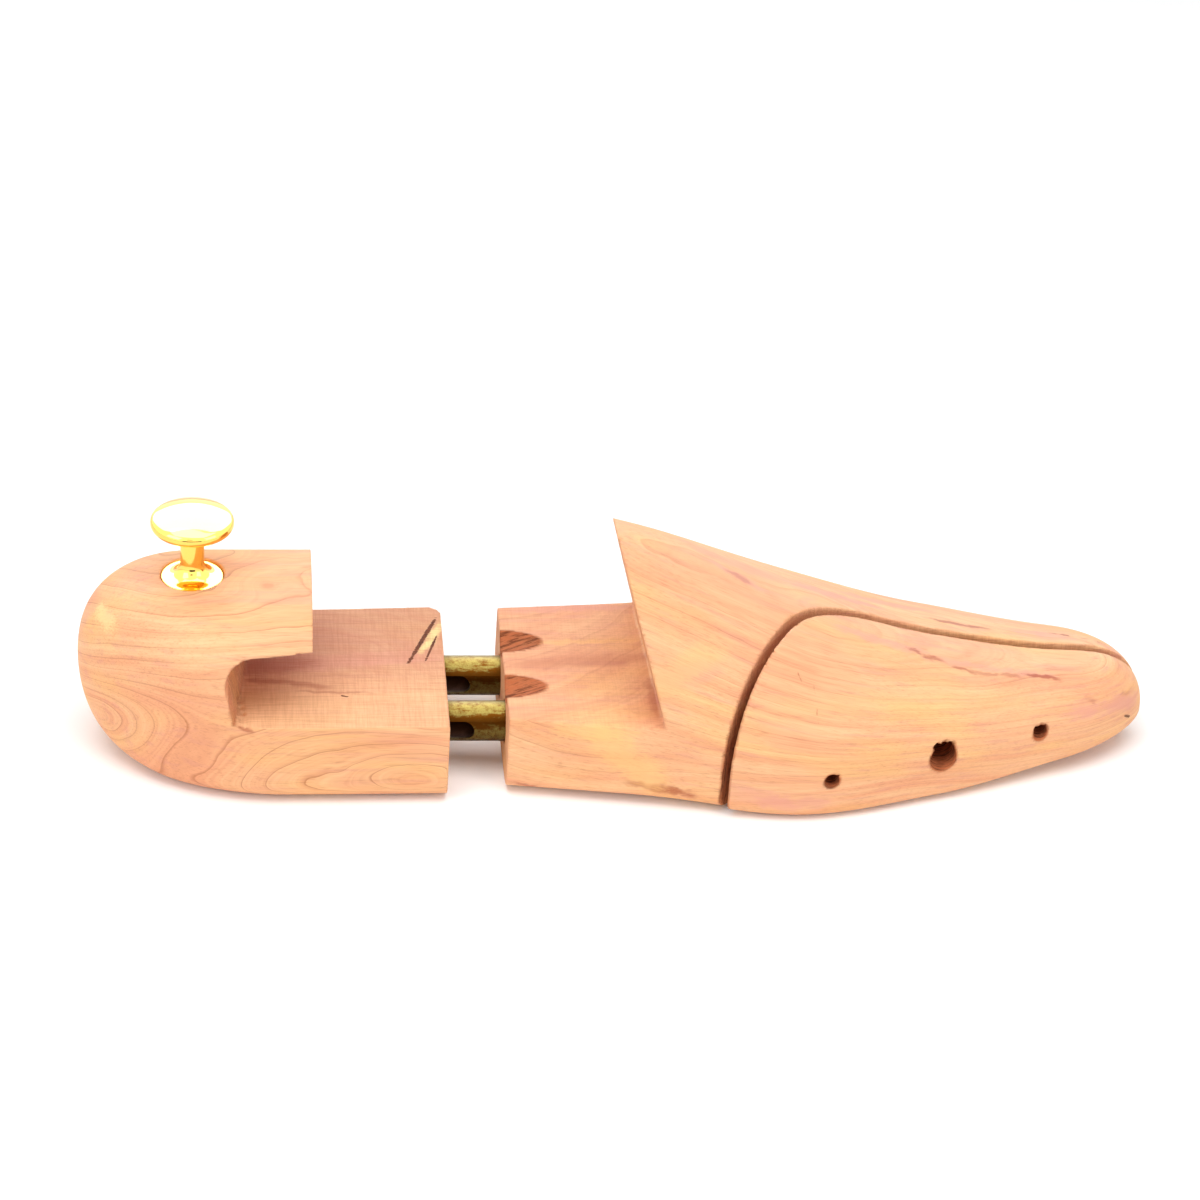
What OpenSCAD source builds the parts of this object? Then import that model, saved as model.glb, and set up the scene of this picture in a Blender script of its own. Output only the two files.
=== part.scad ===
// Shoe tree for a right shoe: two carved cedar blocks that slide on twin sprung tubes.
// X runs to the toe and Z up; Y is 0 midway between the tubes, and minus Y is the outer side of the foot.
// The origin lies on the heel block's flat base.

/* [Blocks] */
// Height of the flat shelf that the front of the heel and the rear of the forepart share
shelf_h = 24.5; // [21:0.5:28]
// How far the heel block and the forepart close together in use
heel_travel = 15; // [8:0.5:17]
// Gap that is left between them when they are pressed fully together
closed_gap = 1; // [0.5:0.5:3]
// Height of the widest line of both blocks, below which the sides turn under
widest_h = 12; // [9:0.5:14]
// How far the ball and the heel are shaved flat so that the tree stands
shave = 0.6; // [0.3:0.1:1]

/* [Heel block] */
// Length from the origin forward to the heel block's front face
heel_front_l = 46; // [40:1:52]
// Length from the origin back to the back of the heel
heel_back_l = 53; // [48:1:58]
// Height of the heel block's crown
heel_h = 53; // [49:0.5:58]
// Half-width on the outer side at the front face
heel_outer_front_w = 31.5; // [29:0.5:36]
// Half-width on the outer side at the middle, where it is widest
heel_outer_w = 32.2; // [29:0.1:36]
// Half-width on the inner side at the front face
heel_inner_front_w = 29; // [27:0.5:34]
// Half-width on the inner side at the middle
heel_inner_w = 27; // [25:0.5:32]
// Half-width on the outer side that the back of the heel is rounded down from
heel_outer_tail_w = 17.5; // [15:0.5:24]
// Half-width on the inner side that the back of the heel is rounded down from
heel_inner_tail_w = 26.4; // [22:0.2:29]
// Length over which the back of the heel is rounded
heel_round_l = 36; // [30:1:42]
// Height of the heel's rearmost point
heel_bulge_h = 28.5; // [24:0.5:32]

/* [Finger notch] */
// Length from the origin forward to the overhang's front face
overhang_l = 9.4; // [6:0.2:14]
// Length from the origin back to the foot of the notch's back wall, on the centre line
notch_foot_l = 8; // [5:0.2:12]
// Radius of the notch's upper inner corner
notch_r = 8; // [6:0.5:9]
// Clear height of the notch at that corner
notch_h = 18.8; // [17:0.2:20]
// Rise of the notch's ceiling towards the front
notch_rise = 6; // [0:1:10]
// Turn of the notch's back wall, seen from above
notch_skew = 5.6; // [0:0.2:10]
// How far the back wall is hollowed behind its foot
notch_hollow = 2.6; // [1:0.2:4]

/* [Knob] */
// Distance from the origin back to the knob
knob_back = 22.3; // [18:0.1:26]
// Outer diameter of the knob's head
knob_d = 22.2; // [18:0.2:26]
// Thickness of the knob's head
knob_head_t = 8; // [6:0.2:10]
// Radius of the head's rim
knob_rim_r = 2; // [1.2:0.1:2.6]
// Height of the middle of the head over the flange's seat
knob_head_h = 17.4; // [15:0.2:20]
// Diameter of the neck
knob_neck_d = 6.4; // [5.6:0.1:7.4]
// Diameter of the flange
knob_flange_d = 16.5; // [14:0.1:19]
// Thickness of the flange at its edge
knob_flange_t = 0.9; // [0.6:0.1:1.4]
// Radius of the trumpet between neck and flange
knob_trumpet_r = 4.6; // [3:0.1:5]
// Depth of the flat seat below the heel's crown
knob_seat_depth = 1.6; // [1.2:0.1:2.4]

/* [Hanger screw] */
// Diameter of the double-ended screw that holds the knob
hanger_d = 4; // [3:0.1:4.5]
// Length of the screw in the wood
hanger_wood_l = 18; // [12:0.5:22]
// Length of the screw in the knob
hanger_knob_l = 9; // [6:0.5:11]

/* [Tubes] */
// Outer diameter of each guide tube
tube_d = 11; // [9:0.2:12]
// Wall of the tube
tube_wall = 0.8; // [0.5:0.1:1.2]
// Distance between the tubes' axes
tube_spacing = 22.4; // [20:0.2:25]
// Height of the tubes' axes
tube_h = 13.2; // [12:0.2:15]
// Depth of the tubes in the forepart
tube_fore_l = 42; // [30:1:50]
// Length of tube behind the slot
tube_tail_l = 5; // [3:0.5:8]
// Width of the slot in the tube's side
slot_w = 5.6; // [4.6:0.1:6.2]
// How far the slot shows in front of the heel block, springs fully out
slot_show = 7.6; // [5:0.2:9]
// Diameter of the cross pin that keeps the tubes in the heel
cross_pin_d = 3.6; // [2.6:0.1:4]
// Distance of the cross pin behind the heel block's front face
cross_pin_back = 14.5; // [12:0.5:18]
// Wood left beside the outer tube at the cross pin's blind end
cross_pin_blind = 5; // [3:0.5:8]
// How deep the cross pin's other end is set below the inner side
cross_pin_inset = 1.5; // [0.5:0.1:3]

/* [Heel springs] */
// Room behind each tube for its spring, springs fully out
heel_spring_l = 42; // [38:1:46]
// Diameter across each heel spring
heel_spring_d = 9.6; // [8:0.1:10.4]
// Wire of the heel springs
heel_wire_d = 1; // [0.8:0.1:1.2]
// Curls of each heel spring
heel_curls = 12; // [8:1:13]

/* [Forepart] */
// Length from the rear face to the toe
fore_l = 180; // [170:1:190]
// Distance from the rear face to the instep station
instep_at = 38; // [34:1:42]
// Distance from the rear face to the ball station
ball_at = 78; // [74:1:84]
// Distance from the rear face to the little toe station
joint_at = 118; // [110:1:126]
// Distance from the rear face to the toe station
toe_at = 158; // [150:1:162]
// Length over which the toe is rounded
toe_round_l = 26; // [22:1:32]
// Half-width on the outer side at the rear face
fore_outer_rear_w = 27.8; // [26:0.2:32]
// Half-width on the outer side at the instep
fore_outer_instep_w = 33.4; // [31:0.2:37]
// Half-width on the outer side at the ball
fore_outer_ball_w = 38.8; // [36:0.2:43]
// Half-width on the outer side at the little toe
fore_outer_joint_w = 29.6; // [27:0.2:34]
// Half-width on the outer side at the toe
fore_outer_toe_w = 15.8; // [13:0.2:20]
// Half-width on the outer side that the tip is rounded down from
fore_outer_tip_w = 9.6; // [8:0.2:13]
// Half-width on the inner side at the rear face
fore_inner_rear_w = 29; // [26:0.5:32]
// Half-width on the inner side at the instep
fore_inner_instep_w = 32.6; // [30:0.2:36]
// Half-width on the inner side at the ball
fore_inner_ball_w = 40.4; // [37:0.2:43]
// Half-width on the inner side at the big toe's joint
fore_inner_joint_w = 38; // [35:0.5:41]
// Half-width on the inner side at the toe
fore_inner_toe_w = 31; // [28:0.5:34]
// Half-width on the inner side that the tip is rounded down from
fore_inner_tip_w = 26.4; // [24:0.2:30]
// Crest height that the instep would reach over the rear face
crest_rear_h = 76; // [72:0.5:82]
// Crest height at the instep
crest_instep_h = 64.8; // [60:0.2:69]
// Crest height at the ball
crest_ball_h = 47.5; // [44:0.5:51]
// Crest height at the little toe
crest_joint_h = 34; // [31:0.5:37]
// Crest height at the toe
crest_toe_h = 27.2; // [25:0.2:30]
// Crest height that the tip is rounded down from
crest_tip_h = 26.5; // [23:0.5:28]
// How far the tip lies towards the big toe
toe_swing = 5; // [0:0.5:8]
// Height of the toe's foremost point
toe_tip_h = 10; // [8:0.5:12]
// How far the sole rises at the toe
toe_spring_h = 4.5; // [2:0.5:6]
// How far the sole is hollowed behind the ball
arch_h = 1; // [0:0.1:2]
// Distance from the rear face to the foot of the instep's rear cut
rear_cut_at = 40; // [34:0.5:46]
// Lean of the instep's rear cut over the shelf
rear_cut_lean = 15.3; // [0:0.5:20]
// Turn of the instep's rear cut, seen from above
rear_cut_skew = 2.8; // [0:0.2:6]

/* [Vent channels] */
// Diameter of the two channels bored across the shelf's rear edge, over the tubes
channel_d = 11.5; // [8:0.5:13]
// Length of the channels on the shelf
channel_l = 10.6; // [8:0.2:14]
// Slope of the channels' floors
channel_slope = 21; // [16:1:24]

/* [Split toe] */
// Width of the saw cut that frees the side piece
kerf = 1.5; // [1:0.1:2]
// Radius of the saw cut's bend, on its centre line
kerf_bend_r = 38.4; // [35:0.2:42]
// Distance from the rear face to the centre of that bend
kerf_bend_at = 105.9; // [103:0.1:109]
// Distance of that centre outward from the centre line
kerf_bend_out = 36.1; // [34:0.1:38]
// Direction of the saw cut where it enters the outer side, from the line to the toe
kerf_entry = 53.8; // [48:0.2:60]
// Direction of the saw cut where it leaves the toe
kerf_exit = 3.9; // [1:0.1:6]
// How far the side piece is sprung out at rest
spread = 1.4; // [0.8:0.1:2]
// Diameter of the two guide pins across the saw cut
guide_pin_d = 4; // [3:0.1:5]
// Distance from the rear face to the spring and screw
screw_at = 118; // [112:0.5:122]
// Distance of the rear guide pin behind the screw
guide_pin_behind = 31.6; // [26:0.2:34]
// Distance of the front guide pin ahead of the screw
guide_pin_ahead = 28.6; // [22:0.2:32]
// Height of the screw
screw_h = 14.2; // [13:0.2:17]
// Rise of the row of holes towards the toe
hole_row_rise = 2.5; // [0:0.5:4]
// Length of the guide pins in the main block
guide_pin_set = 14; // [10:0.5:18]
// Length of the guide pins in the side piece
guide_pin_run = 15; // [8:0.5:16]

/* [Toe screw and spring] */
// Diameter of the screw's shank
screw_d = 3.6; // [3:0.1:4]
// Diameter of the screw's head
screw_head_d = 7; // [6:0.1:7.2]
// Thickness of the screw's head
screw_head_t = 2.6; // [2:0.1:3]
// Length of the screw in the main block
screw_set = 12; // [9:0.5:15]
// Diameter of the hole that the screw's head sits deep in
counterbore_d = 7.5; // [7.4:0.1:9]
// Wood between the screw's head and the spring
screw_web = 9; // [6:0.5:12]
// Depth of the spring's pocket in the side piece
pocket_side_l = 9; // [7:0.5:11]
// Depth of the spring's pocket in the main block
pocket_main_l = 4; // [3:0.5:6]
// Diameter of the spring's pockets
pocket_d = 8.6; // [8.2:0.1:9.6]
// Diameter across the toe spring
toe_spring_d = 7.8; // [7:0.1:8]
// Wire of the toe spring
toe_wire_d = 0.9; // [0.7:0.1:1]
// Curls of the toe spring
toe_curls = 7; // [4:1:7]

/* [Fits] */
// Play all round between what slides or turns and its bore
running_gap = 0.05; // [0.02:0.01:0.1]
// Play all round between what is driven home and its bore
tight_gap = 0.02; // [0.01:0.01:0.04]
// Air left where a stop or a spring meets its seat
seat_gap = 0.02; // [0.01:0.01:0.05]
// Room all round the knob's flange in its seat
flange_gap = 0.25; // [0.1:0.05:0.5]

/* [Hidden] */

$fn = 64;
// Points round a carved section, sides of a spring's wire and rings in each of its curls
SECTION_POINTS = 40;
WIRE_SIDES = 6;
CURL_RINGS = 8;
// Steps along the straight and the rounded stretch of a carved block
STRAIGHT_STEPS = 14;
ROUND_STEPS = 9;
// Squareness of the section's upper and lower half: 2 is an ellipse
CROWN_POWER = 3.3;
HEEL_SOLE_POWER = 5.2;
HEEL_TAIL_POWER = 2.3;
INSTEP_POWER = 1.93;
TOE_POWER = 2.16;
WAIST_SOLE_POWER = 5.4;
BALL_SOLE_POWER = 7.5;
TOE_SOLE_POWER = 2.2;
// Roundness of the block's end in plan and in side view
PLAN_POWER = 2.2;
HEEL_SIDE_POWER = 3.5;
TOE_SIDE_POWER = 3;
// Part of the rounded stretch at which the last section stands, before the tip closes it
LAST_SECTION = 0.993;
// Air between a spring's dead end curl and the next one
DEAD_AIR = 0.67;
// Small part of a curl over which a spring's direction is measured
TURN_STEP = 0.01;
// Steps round the saw cut's bend
BEND_STEPS = 12;
// Where the notch's hollow back wall runs out into its straight foot, below the level of its corner's centre
NOTCH_LOW_TURN = 25;
// Size of a cutting block that clears the whole model
BIG = 300;
// Length by which a cut runs past the face that it opens
PAST = 1;

// Places along X, and the cross pin's blind end along Y
gap = heel_travel + closed_gap;
heel_face = heel_front_l;
heel_back = -heel_back_l;
fore_rear = heel_face + gap;
fore_tip = fore_rear + fore_l;
cross_pin_x = heel_face - cross_pin_back;
cross_pin_blind_end = -(tube_spacing / 2 + tube_d / 2 + cross_pin_blind);
slot_front = heel_face + slot_show;
slot_rear = cross_pin_x - cross_pin_d / 2 - seat_gap;
tube_rear = slot_rear - tube_tail_l;
tube_front = fore_rear + tube_fore_l;
heel_bore_end = tube_rear - heel_spring_l;
knob_x = -knob_back;
knob_z = heel_h - knob_seat_depth;
screw_x = fore_rear + screw_at;
guide_pin_xs = [screw_x - guide_pin_behind, screw_x + guide_pin_ahead];
kerf_centre = [fore_rear + kerf_bend_at, -kerf_bend_out];

// Tables of a size along X, from the back of the heel to the toe
heel_outer = [[heel_back, heel_outer_tail_w], [0, heel_outer_w], [heel_face, heel_outer_front_w]];
heel_inner = [[heel_back, heel_inner_tail_w], [0, heel_inner_w], [heel_face, heel_inner_front_w]];
heel_widest = [[heel_back, heel_bulge_h], [heel_back / 2, widest_h + shave], [heel_face, widest_h]];
heel_sole_power = [[heel_back, HEEL_TAIL_POWER], [heel_back / 2, HEEL_SOLE_POWER - 1], [0, HEEL_SOLE_POWER]];
fore_stations = [0, instep_at, ball_at, joint_at, toe_at, fore_l];
fore_outer = stations([fore_outer_rear_w, fore_outer_instep_w, fore_outer_ball_w, fore_outer_joint_w,
    fore_outer_toe_w, fore_outer_tip_w]);
fore_inner = stations([fore_inner_rear_w, fore_inner_instep_w, fore_inner_ball_w, fore_inner_joint_w,
    fore_inner_toe_w, fore_inner_tip_w]);
fore_crest = stations([crest_rear_h, crest_instep_h, crest_ball_h, crest_joint_h, crest_toe_h, crest_tip_h]);
fore_sole = stations([0, arch_h, -shave, -shave, toe_spring_h / 2, toe_spring_h]);
fore_middle = [[fore_rear, 0], [fore_rear + ball_at, 1], [fore_tip, toe_swing]];
fore_widest = [[fore_rear, widest_h], [fore_tip, toe_tip_h]];
fore_crown_power = [[fore_rear, INSTEP_POWER], [fore_tip, TOE_POWER]];
fore_sole_power = [[fore_rear, WAIST_SOLE_POWER], [fore_rear + ball_at, BALL_SOLE_POWER],
    [fore_tip, TOE_SOLE_POWER]];

function stations(sizes) = [for (i = [0 : len(sizes) - 1]) [fore_rear + fore_stations[i], sizes[i]]];

// Smooth curve through a table of [x, value], with no overshoot between its points
function step_slope(t, i) = (t[i + 1][1] - t[i][1]) / (t[i + 1][0] - t[i][0]);
function knot_slope(t, i) =
    i == 0 ? step_slope(t, 0) :
    i == len(t) - 1 ? step_slope(t, i - 1) :
    let (a = step_slope(t, i - 1), b = step_slope(t, i)) a * b <= 0 ? 0 : 2 * a * b / (a + b);
function knot_before(t, x, i = 0) = i < len(t) - 2 && x > t[i + 1][0] ? knot_before(t, x, i + 1) : i;
function along(t, x) =
    let (i = knot_before(t, x), h = t[i + 1][0] - t[i][0], u = min(1, max(0, (x - t[i][0]) / h)))
    pow(1 - u, 2) * ((1 + 2 * u) * t[i][1] + u * h * knot_slope(t, i))
    + pow(u, 2) * ((3 - 2 * u) * t[i + 1][1] - (1 - u) * h * knot_slope(t, i + 1));

// One point of a carved section: a part of the way round, between four reaches from its widest line
function signed_power(v, p) = sign(v) * pow(abs(v), p);
function section_point(x, angle, middle, outer, inner, widest, sole, crest, crown_power, sole_power) =
    let (
        power = 2 / (angle < 180 ? crown_power : sole_power),
        y = signed_power(cos(angle), power),
        z = signed_power(sin(angle), power),
        reach_y = y > 0 ? inner - middle : outer + middle,
        reach_z = z > 0 ? crest - widest : widest - sole
    )
    [x, middle + y * reach_y, widest + z * reach_z];

// Share of the full size that is left at a distance into a rounded end, from 0 to 1
function end_share(into, power) = pow(1 - pow(min(1, max(0, into)), power), 1 / PLAN_POWER);

// Places of the sections: even steps along the straight, finer ones round the end, which the tip closes
function section_places(from, to, round_l) =
    let (turn = to - round_l * sign(to - from))
    concat(
        [for (i = [0 : STRAIGHT_STEPS - 1]) from + (turn - from) * i / STRAIGHT_STEPS],
        [for (i = [0 : ROUND_STEPS - 1]) turn + (to - turn) * sin(90 * i / ROUND_STEPS)],
        [turn + (to - turn) * LAST_SECTION]
    );

function heel_section(x) =
    let (
        into = (heel_back + heel_round_l - x) / heel_round_l,
        wide = end_share(into, PLAN_POWER),
        tall = end_share(into, HEEL_SIDE_POWER),
        widest = along(heel_widest, x)
    )
    [for (i = [0 : SECTION_POINTS - 1]) section_point(x, 360 * i / SECTION_POINTS, 0,
        along(heel_outer, x) * wide, along(heel_inner, x) * wide, widest,
        widest - (widest + shave) * tall, widest + (heel_h - widest) * tall,
        CROWN_POWER, along(heel_sole_power, x))];

function fore_section(x) =
    let (
        into = (x - fore_tip + toe_round_l) / toe_round_l,
        wide = end_share(into, PLAN_POWER),
        tall = end_share(into, TOE_SIDE_POWER),
        middle = along(fore_middle, x),
        widest = along(fore_widest, x)
    )
    [for (i = [0 : SECTION_POINTS - 1]) section_point(x, 360 * i / SECTION_POINTS, middle,
        (along(fore_outer, x) + middle) * wide - middle,
        middle + (along(fore_inner, x) - middle) * wide, widest,
        widest + (along(fore_sole, x) - widest) * tall, widest + (along(fore_crest, x) - widest) * tall,
        along(fore_crown_power, x), along(fore_sole_power, x))];

// Skin over rings of points, in triangles; each ring turns to the left seen from the next one's side,
// and the last is closed by a tip where there is one, or else by itself
module skin(rings, tip = []) {
    n = len(rings[0]);
    last = (len(rings) - 1) * n;
    sides = [for (r = [0 : len(rings) - 2], i = [0 : n - 1])
        let (a = r * n + i, b = r * n + (i + 1) % n)
        each [[a, a + n, b + n], [a, b + n, b]]];
    start = [[for (i = [0 : n - 1]) i]];
    nose = [for (i = [0 : n - 1]) [last + i, last + n, last + (i + 1) % n]];
    end = [[for (i = [n - 1 : -1 : 0]) last + i]];
    polyhedron(concat([for (ring = rings) each ring], len(tip) > 0 ? [tip] : []),
        concat(sides, start, len(tip) > 0 ? nose : end));
}

module heel_form() {
    places = section_places(heel_face, heel_back, heel_round_l);
    skin([for (x = places) let (s = heel_section(x)) [for (i = [len(s) - 1 : -1 : 0]) s[i]]],
        [heel_back, 0, heel_bulge_h]);
}

module fore_form() {
    places = section_places(fore_rear, fore_tip, toe_round_l);
    skin([for (x = places) fore_section(x)], [fore_tip, toe_swing, toe_tip_h]);
}

module bar_x(from, to, d) {
    translate([from, 0, 0]) rotate([0, 90, 0]) cylinder(h = to - from, d = d);
}

module bar_y(from, to, d) {
    translate([0, to, 0]) rotate([90, 0, 0]) cylinder(h = to - from, d = d);
}

module below_ground() {
    translate([-BIG, -BIG, -BIG]) cube([3 * BIG, 2 * BIG, BIG]);
}

// Places at one of the two tubes' axes: 1 is the inner tube, -1 the outer one
module at_tube(side) {
    translate([0, side * tube_spacing / 2, tube_h]) children();
}

// Hand room under the heel's crown, drawn in side view: a shelf, a hollow back wall and a rising ceiling
module finger_notch() {
    centre = [notch_r - notch_hollow - notch_foot_l, shelf_h + notch_h - notch_r];
    low = centre - notch_r * [cos(NOTCH_LOW_TURN), sin(NOTCH_LOW_TURN)];
    high = centre + notch_r * [-sin(notch_rise), cos(notch_rise)];
    reach = BIG / 2;
    rotate([0, 0, -notch_skew]) translate([0, BIG / 2, 0]) rotate([90, 0, 0]) linear_extrude(BIG) {
        polygon([[-notch_foot_l, shelf_h], low, centre, high,
            high + reach * [cos(notch_rise), sin(notch_rise)], [reach, shelf_h]]);
        translate(centre) circle(notch_r);
    }
}

module heel_block() {
    color("#f2bd8b") difference() {
        heel_form();
        below_ground();
        translate([overhang_l, -BIG / 2, shelf_h]) cube(BIG);
        finger_notch();
        for (side = [-1, 1]) {
            at_tube(side) bar_x(heel_bore_end, heel_face + PAST, tube_d + 2 * running_gap);
        }
        translate([cross_pin_x, 0, tube_h]) bar_y(cross_pin_blind_end, BIG, cross_pin_d + 2 * tight_gap);
        translate([knob_x, 0, knob_z]) cylinder(h = BIG, d = knob_flange_d + 2 * flange_gap);
        translate([knob_x, 0, knob_z - hanger_wood_l - seat_gap])
            cylinder(h = BIG, d = hanger_d + 2 * tight_gap);
    }
}

// Half outline of the knob, turned about its axis: flange, trumpet, neck and a cushion-shaped head
module knob() {
    half_t = knob_head_t / 2;
    rim_at = knob_d / 2 - knob_rim_r;
    dome_r = (pow(rim_at, 2) + pow(half_t, 2) - pow(knob_rim_r, 2)) / (2 * (half_t - knob_rim_r));
    neck_r = knob_neck_d / 2;
    trumpet_top = knob_flange_t + knob_trumpet_r;
    color("#f2c744") translate([knob_x, 0, knob_z]) difference() {
        rotate_extrude() {
            difference() {
                square([neck_r + knob_trumpet_r, trumpet_top]);
                translate([neck_r + knob_trumpet_r, trumpet_top]) circle(knob_trumpet_r);
            }
            square([knob_flange_d / 2, knob_flange_t]);
            square([neck_r, knob_head_h]);
            intersection() {
                translate([0, knob_head_h + half_t - dome_r]) circle(dome_r, $fn = 2 * $fn);
                translate([0, knob_head_h - half_t + dome_r]) circle(dome_r, $fn = 2 * $fn);
                translate([0, knob_head_h - half_t]) square([rim_at, knob_head_t]);
            }
            translate([rim_at, knob_head_h]) circle(knob_rim_r);
        }
        translate([0, 0, -PAST]) cylinder(h = PAST + hanger_knob_l + seat_gap, d = hanger_d + 2 * tight_gap);
    }
}

module knob_screw() {
    color("silver") translate([knob_x, 0, knob_z - hanger_wood_l])
        cylinder(h = hanger_wood_l + hanger_knob_l, d = hanger_d);
}

module guide_tube(side) {
    slot_ends = [slot_rear + slot_w / 2, slot_front - slot_w / 2];
    color("#c8a04a") at_tube(side) difference() {
        bar_x(tube_rear, tube_front, tube_d);
        bar_x(tube_rear - PAST, tube_front + PAST, tube_d - 2 * tube_wall);
        for (x = slot_ends) {
            translate([x, 0, 0]) bar_y(-tube_d, tube_d, slot_w);
        }
        translate([slot_ends[0], -tube_d, -slot_w / 2])
            cube([slot_ends[1] - slot_ends[0], 2 * tube_d, slot_w]);
    }
}

// Wound spring along X: a dead curl at each end, even curls between; the first ring starts at from
function spring_x(turn, curls, length, wire) =
    let (dead = wire + DEAD_AIR, live = (length - wire - 2 * dead) / (curls - 2))
    wire / 2 + dead * (min(turn, 1) + max(turn - curls + 1, 0)) + live * min(max(turn - 1, 0), curls - 2);
function spring_centre(turn, curls, length, d, wire) =
    let (r = (d - wire) / 2) [spring_x(turn, curls, length, wire), r * cos(360 * turn), r * sin(360 * turn)];
function spring_ring(turn, curls, length, d, wire) =
    let (
        here = spring_centre(turn, curls, length, d, wire),
        step = spring_centre(turn + TURN_STEP, curls, length, d, wire)
            - spring_centre(turn - TURN_STEP, curls, length, d, wire),
        out = [0, cos(360 * turn), sin(360 * turn)],
        across = cross(step, out) / norm(cross(step, out))
    )
    [for (i = [0 : WIRE_SIDES - 1]) let (a = 360 * i / WIRE_SIDES)
        here + wire / 2 * (cos(a) * out + sin(a) * across)];

// Least air between a spring's wire and itself, a curl further on
function spring_air(curls, length, d, wire) =
    min([for (i = [0 : (curls - 1) * CURL_RINGS], j = [-2 : 2])
        norm(spring_centre(i / CURL_RINGS, curls, length, d, wire)
            - spring_centre(1 + (i + j / 2) / CURL_RINGS, curls, length, d, wire)) - wire]);

module spring(curls, length, d, wire) {
    rings = [for (i = [0 : curls * CURL_RINGS]) spring_ring(i / CURL_RINGS, curls, length, d, wire)];
    echo(curls = curls, least_air_in_spring = spring_air(curls, length, d, wire));
    skin(rings);
}

module heel_spring(side) {
    color("silver") at_tube(side) translate([heel_bore_end + seat_gap, 0, 0])
        spring(heel_curls, heel_spring_l - 2 * seat_gap, heel_spring_d, heel_wire_d);
}

module cross_pin() {
    side_w = along(heel_inner, cross_pin_x) - cross_pin_inset;
    color("silver") translate([cross_pin_x, 0, tube_h])
        bar_y(cross_pin_blind_end + seat_gap, side_w, cross_pin_d);
}

// The saw cut's line, moved to its left by some distance: straight in, a bend and straight on to the toe
function kerf_line(left) =
    let (
        bend = [for (i = [0 : BEND_STEPS]) let (a = kerf_entry + (kerf_exit - kerf_entry) * i / BEND_STEPS)
            kerf_centre + (kerf_bend_r + left) * [-sin(a), cos(a)]],
        entry = bend[0] - BIG / 4 * [cos(kerf_entry), sin(kerf_entry)],
        exit = bend[BEND_STEPS] + BIG / 2 * [cos(kerf_exit), sin(kerf_exit)]
    )
    concat([entry], bend, [exit]);

// All that lies on the outer side of the saw cut's line
module outer_side(left) {
    line = kerf_line(left);
    end = line[len(line) - 1];
    translate([0, 0, -BIG / 2]) linear_extrude(BIG)
        polygon(concat(line, [[end[0], -BIG / 2], [line[0][0], -BIG / 2]]));
}

// Height of the row of holes at a place along the forepart, and the Y of the saw cut there
function hole_z(x) = screw_h + (x - screw_x) * tan(hole_row_rise);
function kerf_y(x, left) = lookup(x, kerf_line(left));

pocket_main_end = kerf_y(screw_x, kerf / 2) + pocket_main_l;
pocket_side_end = kerf_y(screw_x, -kerf / 2) - pocket_side_l - spread;
head_seat = pocket_side_end - screw_web;

module vent_channel(side) {
    // The bored channel runs out on the shelf at channel_l, where its floor meets it
    floor_x = fore_rear + channel_l;
    translate([floor_x, side * tube_spacing / 2, shelf_h]) rotate([0, 90 - channel_slope, 0])
        translate([-channel_d / 2, 0, -BIG / 2]) cylinder(h = BIG / 2, d = channel_d);
}

module instep_block() {
    color("#f4c48f") difference() {
        fore_form();
        below_ground();
        translate([fore_rear + rear_cut_at, 0, shelf_h]) rear_cut();
        outer_side(kerf / 2);
        for (side = [-1, 1]) {
            at_tube(side) bar_x(fore_rear - PAST, tube_front + seat_gap, tube_d + 2 * tight_gap);
            vent_channel(side);
        }
        for (x = guide_pin_xs) {
            pin_end = kerf_y(x, kerf / 2) + guide_pin_set + seat_gap;
            translate([x, 0, hole_z(x)]) bar_y(-BIG / 4, pin_end, guide_pin_d + 2 * tight_gap);
        }
        translate([screw_x, 0, screw_h]) {
            bar_y(-BIG / 4, pocket_main_end, pocket_d);
            bar_y(-BIG / 4, pocket_main_end + screw_set + seat_gap, screw_d + 2 * tight_gap);
        }
    }
}

// The room cut away over the shelf, behind the instep's leaning rear face
module rear_cut() {
    top = BIG / 2;
    rotate([0, 0, rear_cut_skew]) translate([0, BIG / 2, 0]) rotate([90, 0, 0]) linear_extrude(BIG)
        polygon([[0, 0], [-top * tan(rear_cut_lean), top], [-top, top], [-top, 0]]);
}

module toe_side_block() {
    color("#f6c892") translate([0, -spread, 0]) difference() {
        intersection() {
            fore_form();
            outer_side(-kerf / 2);
        }
        below_ground();
        for (x = guide_pin_xs) {
            translate([x, 0, hole_z(x)]) bar_y(-BIG / 4, BIG / 4, guide_pin_d + 2 * running_gap);
        }
        translate([screw_x, spread, screw_h]) {
            bar_y(-BIG / 4, BIG / 4, screw_d + 2 * running_gap);
            bar_y(-BIG / 4, head_seat, counterbore_d);
            bar_y(pocket_side_end, BIG / 4, pocket_d);
        }
    }
}

module guide_pin(i) {
    x = guide_pin_xs[i];
    color("silver") translate([x, 0, hole_z(x)])
        bar_y(kerf_y(x, -kerf / 2) - guide_pin_run, kerf_y(x, kerf / 2) + guide_pin_set, guide_pin_d);
}

module toe_spring() {
    color("silver") translate([screw_x, pocket_side_end + seat_gap, screw_h]) rotate([0, 0, 90])
        spring(toe_curls, pocket_main_end - pocket_side_end - 2 * seat_gap, toe_spring_d, toe_wire_d);
}

module toe_screw() {
    color("#b08d3c") translate([screw_x, 0, screw_h]) {
        bar_y(head_seat - screw_head_t - seat_gap, head_seat - seat_gap, screw_head_d);
        bar_y(head_seat - 2 * seat_gap, pocket_main_end + screw_set, screw_d);
    }
}

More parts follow.
